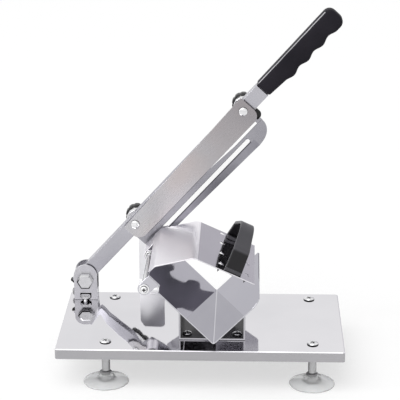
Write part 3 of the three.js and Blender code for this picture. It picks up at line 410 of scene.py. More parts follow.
def laid(name, shells, body, node, material, crease=28.0, weigh=True, bevel=0.0, others=()):
    """One mesh from closed shells in millimetres. Doubles are merged and faces turned outwards first, and
    edges sharper than the crease angle stay sharp. The shells' painted shade becomes a point attribute of the
    mesh. others lists more finishes, each with the rule that picks its faces."""
    faces, base = [], 0
    for shell in shells:
        for group in shell[1]:
            faces += (group + base).tolist()
        base += len(shell[0])
    places = (np.concatenate([shell[0] for shell in shells]) + plate_corner) * millimetre
    painted_shade = np.concatenate([painted_shade_of(shell) for shell in shells])
    mesh = bpy.data.meshes.new(name)
    mesh.from_pydata(places.tolist(), [], faces)
    mesh.attributes.new("painted_shade", "FLOAT", "POINT").data.foreach_set("value", painted_shade)
    solid = bmesh.new()
    solid.from_mesh(mesh)
    bmesh.ops.remove_doubles(solid, verts=solid.verts, dist=2e-7)
    bmesh.ops.dissolve_degenerate(solid, dist=1e-7, edges=solid.edges)
    bmesh.ops.recalc_face_normals(solid, faces=solid.faces)
    solid.to_mesh(mesh)
    solid.free()
    mesh.shade_smooth()
    mesh.set_sharp_from_angle(angle=np.radians(crease))
    mesh.materials.append(material)
    choose_finishes(mesh, others)
    made = linked(name, mesh)
    if bevel:
        soft = made.modifiers.new("edges", "BEVEL")
        soft.width, soft.segments = bevel * millimetre, 2
        soft.limit_method, soft.angle_limit = "ANGLE", np.radians(40)
    if weigh:
        even = made.modifiers.new("flat faces", "WEIGHTED_NORMAL")
        even.keep_sharp = True
        even.weight = 90
    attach(made, body)
    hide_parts(node)


def plated(name, shells, node, body="base", crease=28.0):
    """A small piece of bright plated steel."""
    laid(name, shells, body, node, bright_steel, crease)


# ---------------------------------------------------------------- finishes

class Nodes:
    """A short way to lay out a material's nodes."""

    def __init__(self, name):
        self.material = bpy.data.materials.new(name)
        self.material.use_nodes = True
        self.tree = self.material.node_tree
        self.shader = self.tree.nodes["Principled BSDF"]
        self.coords = self.tree.nodes.new("ShaderNodeTexCoord").outputs["Object"]

    def add(self, kind, inputs=None, **settings):
        node = self.tree.nodes.new(kind)
        for key, value in settings.items():
            setattr(node, key, value)
        for key, value in (inputs or {}).items():
            self.put(node.inputs[key], value)
        return node

    def put(self, socket, value):
        if isinstance(value, bpy.types.NodeSocket):
            self.tree.links.new(value, socket)
        else:
            socket.default_value = value

    def mapped(self, scale=(1, 1, 1), rotation=(0, 0, 0)):
        vector = self.coords
        if any(rotation):
            vector = self.add("ShaderNodeMapping", {"Vector": vector, "Rotation": rotation}).outputs[0]
        return self.add("ShaderNodeMapping", {"Vector": vector, "Scale": scale}).outputs[0]

    def part(self, vector, axis):
        return self.add("ShaderNodeSeparateXYZ", {0: vector}).outputs[axis]

    def mix(self, share, first, second, way="MIX"):
        inputs = {"Factor": share, 6: first, 7: second}
        return self.add("ShaderNodeMix", inputs, data_type="RGBA", blend_type=way).outputs[2]

    def math(self, operation, first, second):
        return self.add("ShaderNodeMath", {0: first, 1: second}, operation=operation).outputs[0]

    # The point attribute of painted shade: how dark a surface's colour is painted where shade falls on it.
    def painted_shade(self):
        return self.add("ShaderNodeAttribute", attribute_name="painted_shade").outputs["Fac"]

    def noise(self, vector, scale, detail, roughness):
        inputs = {"Vector": vector, "Scale": scale, "Detail": detail, "Roughness": roughness}
        return self.add("ShaderNodeTexNoise", inputs).outputs[0]

    def ramp(self, value, stops):
        node = self.add("ShaderNodeValToRGB", {"Fac": value})
        elements = node.color_ramp.elements
        while len(elements) < len(stops):
            elements.new(0.5)
        for element, (place, colour) in zip(elements, stops):
            element.position = place
            element.color = (*colour, 1)
        return node.outputs[0]

    def spread(self, value, low, high, from_low=0.3, from_high=0.7):
        inputs = {"Value": value, "From Min": from_low, "From Max": from_high, "To Min": low, "To Max": high}
        return self.add("ShaderNodeMapRange", inputs).outputs[0]

    def bump(self, height, strength, distance, normal=None):
        inputs = {"Height": height, "Strength": strength, "Distance": distance}
        if normal is not None:
            inputs["Normal"] = normal
        return self.add("ShaderNodeBump", inputs).outputs[0]

    def set(self, **values):
        for key, value in values.items():
            self.put(self.shader.inputs[key.replace("_", " ")], value)
        return self.material

    def glow(self, colour):
        return self.add("ShaderNodeEmission", {"Color": colour, "Strength": 1.0}).outputs[0]

    def surface(self, shader):
        self.put(self.tree.nodes["Material Output"].inputs["Surface"], shader)
        return self.material


def leant(n, leaning):
    """The normal of a sheet that faces up but leans towards the front: up, less the way back times the slope
    that the stops (share of the base's length, slope) give. Its length is brought back to one."""
    end = base_length / 2 * millimetre
    share = n.spread(n.part(n.coords, "X"), 0.0, 1.0, -end, end)
    slope = n.ramp(share, [(place, (lean, lean, lean)) for place, lean in leaning])
    forwards = n.math("MULTIPLY", slope, -1.0)
    tipped = n.add("ShaderNodeCombineXYZ", {"X": 0.0, "Y": forwards, "Z": 1.0}).outputs[0]
    return n.add("ShaderNodeVectorMath", {0: tipped}, operation="NORMALIZE").outputs[0]


def steel(
    name, dark, light, rough, lines=None, depth=0.0, wave=0.0, leaning=None, blotch=9.0, tint=None, metal=1.0,
):
    """Stainless steel: a slow blotch of colour and roughness, faint brushed lines stretched along one way,
    and a slow wave as pressed sheet has. lines is (rotation, scale) of the brushed pattern; its depth and
    the wave's are in micrometres. tint(nodes, colour) may add a piece's own change of colour. Where the
    painted shade attribute rises the steel is painted dark and dull, standing in for the shade in a recess, under
    a head or on a side turned from the light."""
    n = Nodes(name)
    slow = n.noise(n.mapped(), blotch, 3.0, 0.55)
    colour = n.ramp(slow, [(0.3, dark), (0.7, light)])
    if tint:
        colour = tint(n, colour)
    painted_shade = n.painted_shade()
    colour = n.mix(painted_shade, colour, (0.012, 0.011, 0.014, 1))
    normal = None
    if wave:
        normal = n.bump(n.noise(n.mapped(), 7.0, 1.0, 0.4), 1.0, wave * micrometre)
    if leaning:
        normal = leant(n, leaning)
    if lines:
        rotation, scale = lines
        grain = n.noise(n.mapped(scale, rotation), 1.0, 4.0, 0.65)
        normal = n.bump(grain, 1.0, depth * micrometre, normal)
    else:
        grain = n.noise(n.mapped(), 260.0, 4.0, 0.6)
    roughness = n.spread(n.math("ADD", slow, grain), *rough, 0.75, 1.25)
    roughness = n.math("ADD", roughness, n.math("MULTIPLY", painted_shade, 0.2))
    bare = n.spread(painted_shade, metal, 0.0, 0.0, 1.0)
    made = n.set(Base_Color=colour, Metallic=bare, Roughness=roughness, Specular_IOR_Level=0.1)
    if normal is not None:
        n.set(Normal=normal)
    return made


def moulded(name, dark, light, rough, grain, gloss):
    """Moulded plastic or rubber: a fine pebbled grain in the bump, as deep in micrometres as grain says, and
    slight wear in colour and gloss. It is lightest where the painted shade attribute is nought, and is painted
    towards black, standing in for shade, where that rises."""
    n = Nodes(name)
    slow = n.noise(n.mapped(), 22.0, 3.0, 0.5)
    pebble = n.add("ShaderNodeTexVoronoi", {"Vector": n.mapped(), "Scale": 1500.0}).outputs["Distance"]
    colour = n.mix(n.painted_shade(), n.ramp(slow, [(0.3, dark), (0.75, light)]), (0.006, 0.0055, 0.007, 1))
    roughness = n.spread(n.noise(n.mapped(), 90.0, 5.0, 0.6), *rough)
    normal = n.bump(pebble, 1.0, grain * micrometre)
    return n.set(Base_Color=colour, Roughness=roughness, Normal=normal, Specular_IOR_Level=gloss)


def clamp_tint(n, colour):
    """The clamp plate is painted greyer from its lower end up the arm, as painted shade, with faint warm and cool
    patches of its own tint.
    """
    share = n.spread(n.part(n.mapped(rotation=along_arm), "X"), 0.0, 1.0, 0.03, 0.24)
    unshaded, slight, shaded_grey = (1.0, 1.0, 1.0), (0.96, 0.95, 0.955), (0.61, 0.60, 0.615)
    along = n.ramp(share, [(0.0, unshaded), (0.55, slight), (1.0, shaded_grey)])
    cool, warm = (0.98, 1.0, 1.02), (1.04, 0.99, 0.97)
    patch = n.ramp(n.noise(n.mapped(), 16.0, 2.0, 0.5), [(0.35, cool), (0.5, unshaded), (0.68, warm)])
    return n.mix(1.0, n.mix(1.0, colour, along, "MULTIPLY"), patch, "MULTIPLY")


# Brushed patterns: how each is turned, and how finely it repeats each way. A pattern is long the way of its
# small number.
along_arm = (0.0, arm_angle, 0.0)
unturned = (0.0, 0.0, 0.0)
along_length = (unturned, (3.0, 500.0, 500.0))
along_sheet_depth = (unturned, (420.0, 4.0, 420.0))
down_post = (unturned, (500.0, 500.0, 4.0))
down_guard = (unturned, (600.0, 600.0, 5.0))
along_bar = (along_arm, (5.0, 900.0, 900.0))
across_blade = (along_arm, (700.0, 700.0, 6.0))
along_blade = (along_arm, (6.0, 700.0, 700.0))
every_way = (unturned, (300.0, 300.0, 300.0))

base_dark, base_light, base_rough = (0.69, 0.685, 0.71), (0.75, 0.74, 0.765), (0.025, 0.06)
# How the polish of the base plate's upper face leans towards the front: (share of its length, slope).
base_lean = [
    (0.0625, 0.062), (0.108, 0.07), (0.128, 0.25), (0.1625, 0.16),
    (0.21, 0.125), (0.265, 0.106), (0.30, 0.065), (0.42, 0.06),
]
polished_base = steel("polished base sheet", base_dark, base_light, base_rough, along_length, 0.8)
leaning_base = steel(
    "polished base sheet, upper face", base_dark, base_light, base_rough, along_length, 0.8, leaning=base_lean)
polished_trough = steel(
    "polished trough sheet", (0.51, 0.505, 0.545), (0.57, 0.565, 0.60), (0.01, 0.035), along_sheet_depth, 0.8, 50)
polished_bracket = steel(
    "polished bracket sheet", (0.42, 0.415, 0.44), (0.50, 0.495, 0.52), (0.05, 0.10), along_sheet_depth, 1.0, 40)
shadowed = steel(
    "shadowed bracket inside", (0.055, 0.054, 0.06), (0.10, 0.098, 0.105), (0.10, 0.20),
    along_sheet_depth, 1.0, 40, metal=0.35)
polished_press = steel(
    "polished press sheet", (0.84, 0.82, 0.86), (0.90, 0.88, 0.92), (0.28, 0.38), along_sheet_depth, 1.2, 20)
# The press plate's long right face is the same sheet as the rest, painted darker as shade and given less
# roughness.
press_shaded_side = steel(
    "polished press sheet, long side painted darker as shade", (0.68, 0.665, 0.70), (0.74, 0.725, 0.76), (0.08, 0.15),
    along_sheet_depth, 0.8, 30)
polished_post = steel(
    "polished post sheet", (0.49, 0.485, 0.51), (0.59, 0.585, 0.61), (0.14, 0.24), down_post, 2.0, blotch=60.0)
satin_clamp = steel(
    "satin clamp plate", (0.48, 0.465, 0.475), (0.58, 0.565, 0.575), (0.25, 0.31),
    along_bar, 1.0, blotch=7.0, tint=clamp_tint)
satin_bar = steel("satin bar", (0.43, 0.425, 0.46), (0.49, 0.485, 0.52), (0.22, 0.30), along_bar, 1.2)
satin_guard = steel("satin guard sheet", (0.86, 0.86, 0.87), (0.92, 0.92, 0.93), (0.28, 0.38), down_guard, 0.8)
ground_blade = steel(
    "ground blade steel", (0.29, 0.285, 0.315), (0.36, 0.355, 0.385), (0.24, 0.32),
    across_blade, 1.5, blotch=30.0)
dull_blade = steel(
    "dull edge of the blade", (0.22, 0.215, 0.245), (0.31, 0.305, 0.34), (0.26, 0.34),
    across_blade, 1.5, blotch=30.0)
# Painted shade: narrow dark lines along the groove's edges, and a painted shadow under the clamp plate's edge.
shade_line_blade = steel("painted shade lines beside the groove and under the clamp", (0.07, 0.068, 0.08), (0.12, 0.118, 0.13), (0.30, 0.40))
# Near-white steel: the groove's front is polished and tilted up; on the flat wedge below the clamp plate the
# bright colour is a painted highlight.
groove_and_highlight_blade = steel(
    "mirror groove and painted highlight wedge of the blade", (0.95, 0.95, 0.95), (0.98, 0.98, 0.98), (0.10, 0.16), along_blade, 1.0)
bright_steel = steel(
    "bright plated steel", (0.70, 0.70, 0.71), (0.80, 0.80, 0.81), (0.10, 0.18), every_way, 4.0, blotch=90.0)
black_grip = moulded("black grip plastic", (0.013, 0.012, 0.016), (0.021, 0.019, 0.025), (0.45, 0.55), 10, 0.06)
# A painted highlight: a lighter, glossier grey along the grip's upper edges.
grip_highlight = moulded("painted highlight along the grip's edges", (0.34, 0.335, 0.35), (0.52, 0.51, 0.53), (0.40, 0.50), 10, 0.1)
black_knob = moulded("black knob plastic", (0.008, 0.008, 0.009), (0.016, 0.015, 0.017), (0.28, 0.38), 8, 0.35)
grey_handle = moulded("dark handle plastic", (0.050, 0.049, 0.056), (0.066, 0.064, 0.073), (0.30, 0.42), 8, 0.3)
black_rubber = moulded("black rubber", (0.010, 0.010, 0.010), (0.018, 0.018, 0.018), (0.62, 0.78), 20, 0.3)


def milky_cup():
    """Soft clear plastic with a milky body: light passes, scattered by its roughness, and slow clouds vary
    it."""
    n = Nodes("milky clear cup")
    cloud = n.noise(n.mapped(), 40.0, 3.0, 0.5)
    n.set(Base_Color=n.ramp(cloud, [(0.3, (0.95, 0.96, 0.965)), (0.7, (0.985, 0.99, 0.99))]))
    n.set(Roughness=n.spread(cloud, 0.06, 0.16), Normal=n.bump(n.noise(n.mapped(), 120.0, 2.0, 0.5), 0.6, 0.0001))
    n.set(Subsurface_Weight=0.5, Subsurface_Radius=(0.01, 0.01, 0.01), Subsurface_Scale=1.0)
    return n.set(Transmission_Weight=0.75, IOR=1.42)


clear_cup = milky_cup()


# ---------------------------------------------------------------- base plate and feet

def folded_tray():
    """The base plate: a rounded rectangle carried over the top, down the lip and back inside. Each ring is
    the rectangle inset by the profile's first number at the profile's height, and its corners' radius
    shrinks by the same amount. The lip is painted darker, as painted shade."""
    fold = np.linspace(0, np.pi / 2, 7)
    profile = np.vstack([
        np.c_[base_sheet - base_sheet * np.sin(fold), -base_sheet + base_sheet * np.cos(fold)],
        [[0, -11.6], [0.12, -11.9], [0.4, -lip_depth], [1.1, -lip_depth], [1.38, -11.9], [base_sheet, -11.6]],
        [[base_sheet, -2.1], [1.7, -1.6], [2.1, -1.5]],
    ])
    rings = []
    for inwards, height in profile:
        far = base_length - inwards, base_depth - inwards
        line = oblong((inwards, inwards), far, max(base_corner - inwards, 0.25), 6)
        rings.append(np.c_[line, np.full(len(line), height)])
    rings = np.array(rings)
    # Painted shade on the lip, below the top's fold.
    lip_painted_shade = 0.45 * np.clip((-0.9 - rings[..., 2]) / 0.5, 0, 1)
    return *loft(rings), lip_painted_shade


def upper_face(middle, normal):
    """The base plate's top."""
    return (normal[:, 2] > 0.95) & (middle[:, 2] > -0.5)


tray_finishes = [(leaning_base, upper_face)]
laid("tray_base", [folded_tray()], "base", "base_plate", polished_base, others=tray_finishes)

cup_profile = np.vstack([
    smooth_line([[0.0, 2.9], [6.0, 2.8], [12.0, 2.4], [18.0, 1.5], [22.0, 0.5], [23.1, 0.0]], 26),
    smooth_line([[24.6, 0.0], [25.2, 0.2], [25.5, 0.7], [25.3, 1.2], [24.7, 1.5]], 12),
    smooth_line([
        [22.5, 2.2], [19.0, 3.1], [15.0, 4.3], [11.6, 5.4], [9.6, 6.6], [8.3, 8.0], [7.7, 9.0], [7.3, 9.5],
    ], 30),
    [[6.9, 9.6], [3.4, 9.6], [3.4, 4.4], [0.0, 4.4]],
])
post_profile = [
    [0, 4.7], [2.6, 4.7], [3, 5.1], [3, 14.1], [4.3, 14.1], [4.65, 14.5], [4.65, 24.5], [4.5, 24.8],
    [4.5, 25.2], [4.65, 25.5], [4.65, 45.6], [4.3, 46.1], [0, 46.1],
]
for foot, (x, y) in feet.items():
    bench = np.array([x, y, bench_level])
    cup = upright(spun(cup_profile, 80), bench)
    laid("cup_" + foot, [cup], "base", "suction_cup_" + foot, clear_cup, 60, False)
    # The foot posts carry painted shade all over, for the shade under the base plate.
    plated("post_" + foot, [upright(with_painted_shade(spun(post_profile, 48), 0.35), bench)], "foot_post_" + foot)
    plated("nut_" + foot, [upright(hex_head(12, 9.9, 13.7, True), bench)], "foot_nut_" + foot)
    foot_screw = upright(screw(6.4, 2.6, plate_shank, 11.5), np.array([x, y, clearance]), 0.6)
    plated("screw_" + foot, [foot_screw], "foot_screw_" + foot, crease=40)


# ---------------------------------------------------------------- pivot post and its bolts

def clevis():
    """The pivot post, drawn about its middle. The front cheek is a plate with a half circle as its top and, at
    its foot, a notch for the standing bolt's head with a slot for its shank. The floor and the rear cheek are
    one strip, whose half width above the circle's middle is the root of the radius squared less the height
    squared."""
    slot_half, slot_top, notch_half, notch_top = 3.6, 3.5, 6.4, 8.7
    left = [
        (-post_half, 30.5), (-post_half, clearance, 0.3), (-slot_half, clearance, 0.2),
        (-slot_half, slot_top), (-notch_half, slot_top), (-notch_half, notch_top),
    ]
    foot = rounded(left + [(-x, *rest) for x, *rest in left[::-1]], False, 4)
    arc = np.linspace(0, np.pi, 41)
    cheek = np.vstack([foot, np.c_[post_half * np.cos(arc), post_round + post_half * np.sin(arc)]])
    front = slab(cheek, cheek_front, cheek_back, 0.22)
    rise = post_half * np.sin(np.linspace(0.002, np.pi / 2, 26))
    line = np.vstack([
        [(cheek_back - 0.4, floor_middle), (rear_cheek_middle, floor_middle)],
        np.c_[np.full(26, rear_cheek_middle), post_round + rise],
    ])
    half = np.sqrt(np.maximum(post_half**2 - np.maximum(line[:, 1] - post_round, 0) ** 2, 0.01))
    rear = strip(line, -half, half, post_sheet, 0.25)
    return [along_depth(front, post_middle), across_plate(rear, post_middle)]


laid("post_clevis", clevis(), "base", "pivot_post", polished_post)
block_left, block_right, block_low, block_high = 6.85, 34.15, 2.6, 11.8
block = slab(oblong((block_left, 144.4), (block_right, 158.8), 0.8), block_low, block_high, 0.6)
laid("stop_block", [block], "base", "post_block", satin_bar)
on_block = np.array([block_left - clearance - 0.1, bar_middle, (block_low + block_high) / 2])
# The stop block's screw is painted darker all over, with painted shade of at least 0.55.
block_screw = set_on(with_painted_shade(screw(4.5, 2.8, plate_shank, 9.6), 0.55), on_block, y_way, z_way, -x_way)
plated("stop_block_screw", [block_screw], "block_screw", crease=40)

pivot_flats = 17
# The pivot bolt's head carries a little painted shade all over, and dark painted shade on its chamfer and sides
# towards the lower left.
pivot_head = with_painted_shade(hex_head(pivot_flats, 0.0, 6.4, painted_dark=(0.75, 1.0)), 0.15)
pivot_shank = shank([[0, 0.0], [4.9, 0.0], [4.9, 17.0]], 5.0, 17.4, 28.0, 1.5, 0.4)
plated("pivot_hex_bolt", [
    along_depth(pivot_head, pivot + (cheek_front - clearance) * y_way, True),
    along_depth(pivot_shank, pivot + (cheek_front - 0.5) * y_way),
], "pivot_bolt")
plated("pivot_hex_nut", [along_depth(hex_head(pivot_flats, 161.5, 168.0, True), pivot)], "pivot_nut")
for place, low in {"front": cheek_back + clearance, "rear": bar_back + clearance}.items():
    plated("pivot_ring_" + place, [along_depth(ring_shell(10, 5.3, low, low + 1), pivot)], "pivot_washer_" + place)

stand_place = np.array([pivot[0], 138.9, 0.0])
stand_radius = 3.0
stand_shank = shank([[0, -8.0]], stand_radius, -8, 4.2, 1.0, 0.3)
# Painted shade on both sides of the standing bolt's shank, and on the lower left of its head.
painted_dark_sides = np.clip((np.abs(stand_shank[0][:, 0]) / stand_radius - 0.4) / 0.3, 0, 1)
plated("standing_bolt", [
    upright(hex_head(10, 4.1, 8.1, painted_dark=(0.25, 0.5)), stand_place),
    upright(with_painted_shade(stand_shank, painted_dark_sides), stand_place),
], "stand_bolt")


# ---------------------------------------------------------------- trough, bracket and rod

def trough_fold():
    """The trough: a V whose middle line bends on a 2.2 mm radius at the valley. At a distance w from the
    valley its sheet runs from front(w) to back(w); the right wall's corners are circles of 12 and 3 mm, and
    the left wall is narrower above 83 mm, between the two tabs."""
    front_edge, back_edge = -14.0, 139.5
    tabs_front, tabs_back, tabs_start = 8.0, 134.2, 83
    right_end, front_radius, back_radius = 69, 12.0, 3.0
    half = trough_sheet / 2
    ends = valley + 99.3 * up_left - half * up_right, valley + right_end * up_right - half * up_left
    bend = (valley[0], valley[2] - half * np.sqrt(2), 2.2)
    line = finer(rounded([ends[0][front_view], bend, ends[1][front_view]], False, 9), 1.0)
    away = (line - valley[front_view]) @ np.stack([up_left[front_view], up_right[front_view]], 1)
    left = line[:, 0] < valley[0]
    w = np.where(left, away[:, 0], away[:, 1])
    narrow = w > tabs_start
    right_front = front_edge + cut_back(w - (right_end - front_radius), front_radius)
    right_back = back_edge - cut_back(w - (right_end - back_radius), back_radius)
    front = np.where(left, np.where(narrow, tabs_front, front_edge), right_front)
    back = np.where(left, np.where(narrow, tabs_back, back_edge), right_back)
    step = int(np.argmax(w < tabs_start))
    share = (tabs_start - w[step]) / (w[step - 1] - w[step])
    edge = line[step] + (line[step - 1] - line[step]) * share
    line = np.insert(line, [step, step], [edge, edge + 0.001 * (line[step] - edge)], 0)
    front = np.insert(front, [step, step], [tabs_front, front_edge])
    back = np.insert(back, [step, step], [tabs_back, back_edge])
    # Painted shade on the trough's outer face, the underside of the V.
    outer_face_shade = np.tile(0.18 * np.array([0, 1, 1, 0, 0, 0, 0, 0]), len(line))
    return along_depth((*strip(line, front, back, trough_sheet, 0.18), outer_face_shade))


def rod_tab(front):
    """A tab of the left wall: a rectangle out from the wall that ends in a half circle round the rod."""
    radius, wall = 7.2, -trough_sheet / 2
    arc = np.linspace(0, np.pi, 25)
    end = np.c_[rod_along - radius * np.cos(arc), -rod_off - radius * np.sin(arc)]
    line = np.vstack([[[rod_along - radius, wall]], end, [[rod_along + radius, wall]]])
    return set_on(slab(line, front, front + trough_sheet, 0.18), valley, up_left, up_right, y_way)


def inside_bracket(middle, normal):
    """The faces between the bracket's two walls, above its floor and behind its front edges."""
    x, y, z = middle.T
    between = (x > bracket_left + 0.2) & (x < bracket_right - 1.5)
    return between & (y > bracket_front + 0.5) & (z > 1.8)


trough_shells = [trough_fold(), rod_tab(8.0), rod_tab(133.0)]
laid("trough_sheet", trough_shells, "base", "trough", polished_trough)

bracket_line = [
    (bracket_left, 50.7), (bracket_left, floor_middle), (bracket_right, floor_middle), (bracket_right, 45.3),
]
channel = along_depth(strip(bracket_line, bracket_front, bracket_back, post_sheet, 0.25))
laid(
    "bracket_channel", [channel], "base", "trough_bracket", polished_bracket,
    bevel=0.35, others=[(shadowed, inside_bracket)])
bracket_holes = {
    "front_left": (145, 41), "front_right": (201, 41), "rear_left": (145, 117), "rear_right": (201, 117),
}
for place, (x, y) in bracket_holes.items():
    fixing = upright(screw(5.4, 2.6, plate_shank, 7.2), np.array([x, y, 2.6]), 0.3)
    plated("channel_screw_" + place, [fixing], "bracket_screw_" + place, crease=40)

rod_profile = [[0, 9.5], [3.5, 9.5], [4, 10.0], [4, 132.2], [3.5, 132.7], [0, 132.7]]
front_screw = along_depth(screw(3.9, 2.4, small_shank, 10.6), rod_axis + 6.4 * y_way, True)
rear_screw = along_depth(screw(3.9, 2.4, small_shank, 9.4), rod_axis + 134.5 * y_way)
plated("slide_rod", [along_depth(spun(rod_profile, 56), rod_axis)], "guide_rod")
plated("rod_ring", [along_depth(ring_shell(5.8, 2.3, 6.7, 7.7), rod_axis)], "rod_washer")
plated("rod_end_screw_front", [front_screw], "rod_screw_front", crease=40)
plated("rod_end_screw_rear", [rear_screw], "rod_screw_rear", crease=40)
plated("rod_bush", [along_depth(ring_shell(5.8, 4.3, 107.7, 132.4, 0.3), rod_axis)], "slide_bush", "slide")


# ---------------------------------------------------------------- press plate and its handle

def press_sheet():
    """The press plate: a grid over its outer face and one over its inner face, 1.2 mm apart, joined round the
    rim. One way the grid follows the bends, flange, left face, ridge and right face; the other way it follows
    the depth. Two cells of each tooth give way to two triangles, which leave a triangular opening."""
    start, way, right_end = ridge[front_view], down_right[front_view], (220.0, 72.5)
    bends = rounded([(103.484, 85.513), (110.3, 92.329, 7.2), (*start, 15.2), right_end], False, 12)
    marks = np.array([r + d for r in tooth_rows for d in (-3.5, 0.0, 3.5)])
    to_ridge = bends[(bends - start) @ way < 10]
    line = np.vstack([to_ridge, start + marks[:, None] * way, [right_end]])
    along = unit(np.gradient(line, axis=0))
    normal = np.stack([along[:, 1], -along[:, 0]], 1)
    depths = np.unique(np.r_[press_front, press_back, [p + d for p in tooth_places for d in (0.0, 8.0)]])
    rows, columns = len(line), len(depths)
    grids = []
    for off in (0.0, press_thick):
        place = np.repeat((line + off * normal)[:, None], columns, 1)
        grids.append(np.stack([place[..., 0], np.tile(depths, (rows, 1)), place[..., 1]], -1))
    points = np.concatenate(grids).reshape(-1, 3)
    under = rows * columns
    cell = np.zeros((rows - 1, columns - 1), bool)
    extra = []
    for r in range(len(tooth_rows)):
        for p in tooth_places:
            i, j = len(to_ridge) + 3 * r, int(np.searchsorted(depths, p - 1e-6))
            cell[i : i + 2, j] = True
            corner = i * columns + j
            tip = corner + columns + 1
            below = corner + 2 * columns
            beside = np.array([[corner, tip, corner + 1], [below, below + 1, tip]])
            rim = np.array([corner, corner + columns, below, tip])
            after = np.roll(rim, -1)
            extra += [beside, beside + under, np.stack([rim, after, after + under, rim + under], 1)]
    i, j = np.nonzero(~cell)
    corner = i * columns + j
    quads = np.stack([corner, corner + columns, corner + columns + 1, corner + 1], 1)
    down_rows = np.arange(1, rows) * columns
    last_row = (down_rows[-1] + np.arange(columns - 1))[::-1]
    edge = np.r_[np.arange(columns), down_rows + columns - 1, last_row, down_rows[-2::-1]]
    following = np.roll(edge, -1)
    rim = np.stack([edge, following, following + under, edge + under], 1)
    return points, [quads, quads + under, rim] + extra


def teeth():
    """Each tooth is a triangle, 7 mm wide where it leaves the plate and 9.2 mm long, folded down at the front
    side of its opening."""
    outline = rounded([(-3.5, 0.0), (3.5, 0.0), (0.0, 9.2, 0.3)], True, 3)
    # The teeth are painted dark all over, as painted shade.
    tooth = with_painted_shade(slab(outline, 0.0, press_thick, 0.15, 2), 0.8)
    shells = []
    for row in tooth_rows:
        for place in tooth_places:
            origin = ridge + row * down_right - clearance * off_right + (place - press_thick) * y_way
            shells.append(set_on(tooth, origin, down_right, -off_right, y_way))
    return shells


def knuckle():
    """The knuckle: a tube round the bush, and a lug of the same sheet that runs on from the flange."""
    front, back = 108.2, 131.9
    line = [(103.9, 85.1), (rod_axis + 6.7 * up_left)[front_view]]
    return [
        along_depth(ring_shell(7.3, 6.1, front, back), rod_axis),
        along_depth(strip(line, front, back, press_thick, 0.2)),
    ]


def shaded_long_side(middle, normal):
    """The right face of the press plate with the right half of its ridge, and the teeth, which are painted darker
    as shade.
    """
    return middle[:, 0] > 158.0


press_shells = [press_sheet()] + teeth() + knuckle()
laid(
    "press_sheet", press_shells, "presser", "press_plate", polished_press,
    bevel=0.14, others=[(press_shaded_side, shaded_long_side)])


def strap_arch():
    """The strap handle: an outer and an inner line, each from the front foot over two knees and the top to
    the rear foot, carry a rounded rectangle between them. Its width goes from 19.5 at the feet to 16 at the
    top, as the sine of the share of the span to the power 1.5. Painted shade darkens all but the outer face of
    the top, down to the knees, and the side towards the ridge, which stay lighter as if lit."""
    front, span, knee, foot_low, width_at_foot, round_edge = 19.0, 113.0, 25.52, 0.35, 19.5, 1.4
    left_knee, top, right_knee = front + 0.13 * span, front + 0.49 * span, front + 0.86 * span
    outer = rounded([
        (front, foot_low), (left_knee, knee, 9), (top, 44, 40), (right_knee, knee, 9), (front + span, foot_low),
    ], False, 14)
    inner = rounded([
        (front + 5.2, foot_low), (left_knee + 3.4, knee - 3.0, 6), (top, 40, 36),
        (right_knee - 3.4, knee - 3.0, 6), (front + span - 5.2, foot_low),
    ], False, 14)
    even = np.linspace(0, 1, 110)
    outside, inside = (at_lengths(line, even * run_length(line)[-1]) for line in (outer, inner))
    width = width_at_foot - 3.5 * np.sin(np.pi * np.clip((outside[:, 0] - front) / span, 0, 1)) ** 1.5
    thick = np.linalg.norm(outside - inside, axis=1)
    corner = np.linspace(0, np.pi / 2, 5)
    quarter = round_edge * np.stack([1 - np.cos(corner), 1 - np.sin(corner)], 1)
    offset = np.vstack([quarter, quarter[::-1] * (-1, 1), -quarter, quarter[::-1] * (1, -1)])
    share = np.repeat([(0, 0), (1, 0), (1, 1), (0, 1)], len(corner), 0)
    wide = offset[:, 0] + share[:, 0] * width[:, None] + width_at_foot / 2 - width[:, None] / 2
    deep = (offset[:, 1] + share[:, 1] * thick[:, None]) / thick[:, None]
    middle = outside[:, None] + (inside - outside)[:, None] * deep[..., None]
    # The top, down to the knees, is kept light on its outer face as if lit, and the legs and inner faces are
    # painted dark: painted light and shade.
    lit_top = np.clip((0.330 - np.abs(even - 0.5)) / 0.010, 0, 1)
    facing = np.repeat([1.0, 0.05], 2 * len(corner))
    painted_shade = 1 - lit_top[:, None] * facing
    # The side face towards the ridge keeps little painted shade, a painted lit edge.
    painted_shade[:, [0, 1, -1]] = np.minimum(painted_shade[:, [0, 1, -1]], 0.2)
    origin = ridge + 36.0 * down_right
    arch = *loft(np.concatenate([middle, wide[..., None]], -1)), painted_shade
    shells = [set_on(arch, origin, y_way, off_right, down_right)]
    for low in (front + 0.3, front + span - 11.5):
        pad = slab(oblong((low, 0.4), (low + 11.2, 19.1), 1.5), foot_low, 4.3, 0.9)
        shells.append(set_on(pad, origin, y_way, down_right, off_right))
    return shells


laid("strap_handle", strap_arch(), "presser", "press_handle", grey_handle, 50)
for place, y in {"front": 24.75, "rear": 126.25}.items():
    under_plate = ridge + 45.75 * down_right - 1.5 * off_right + y * y_way
    strap_screw = set_on(screw(3.8, 2.0, 1.7, 4.2), under_plate, down_right, y_way, -off_right)
    plated("strap_screw_" + place, [strap_screw], "press_handle_screw_" + place, "presser", 40)


# ---------------------------------------------------------------- arm, clamp plate, blade and grip

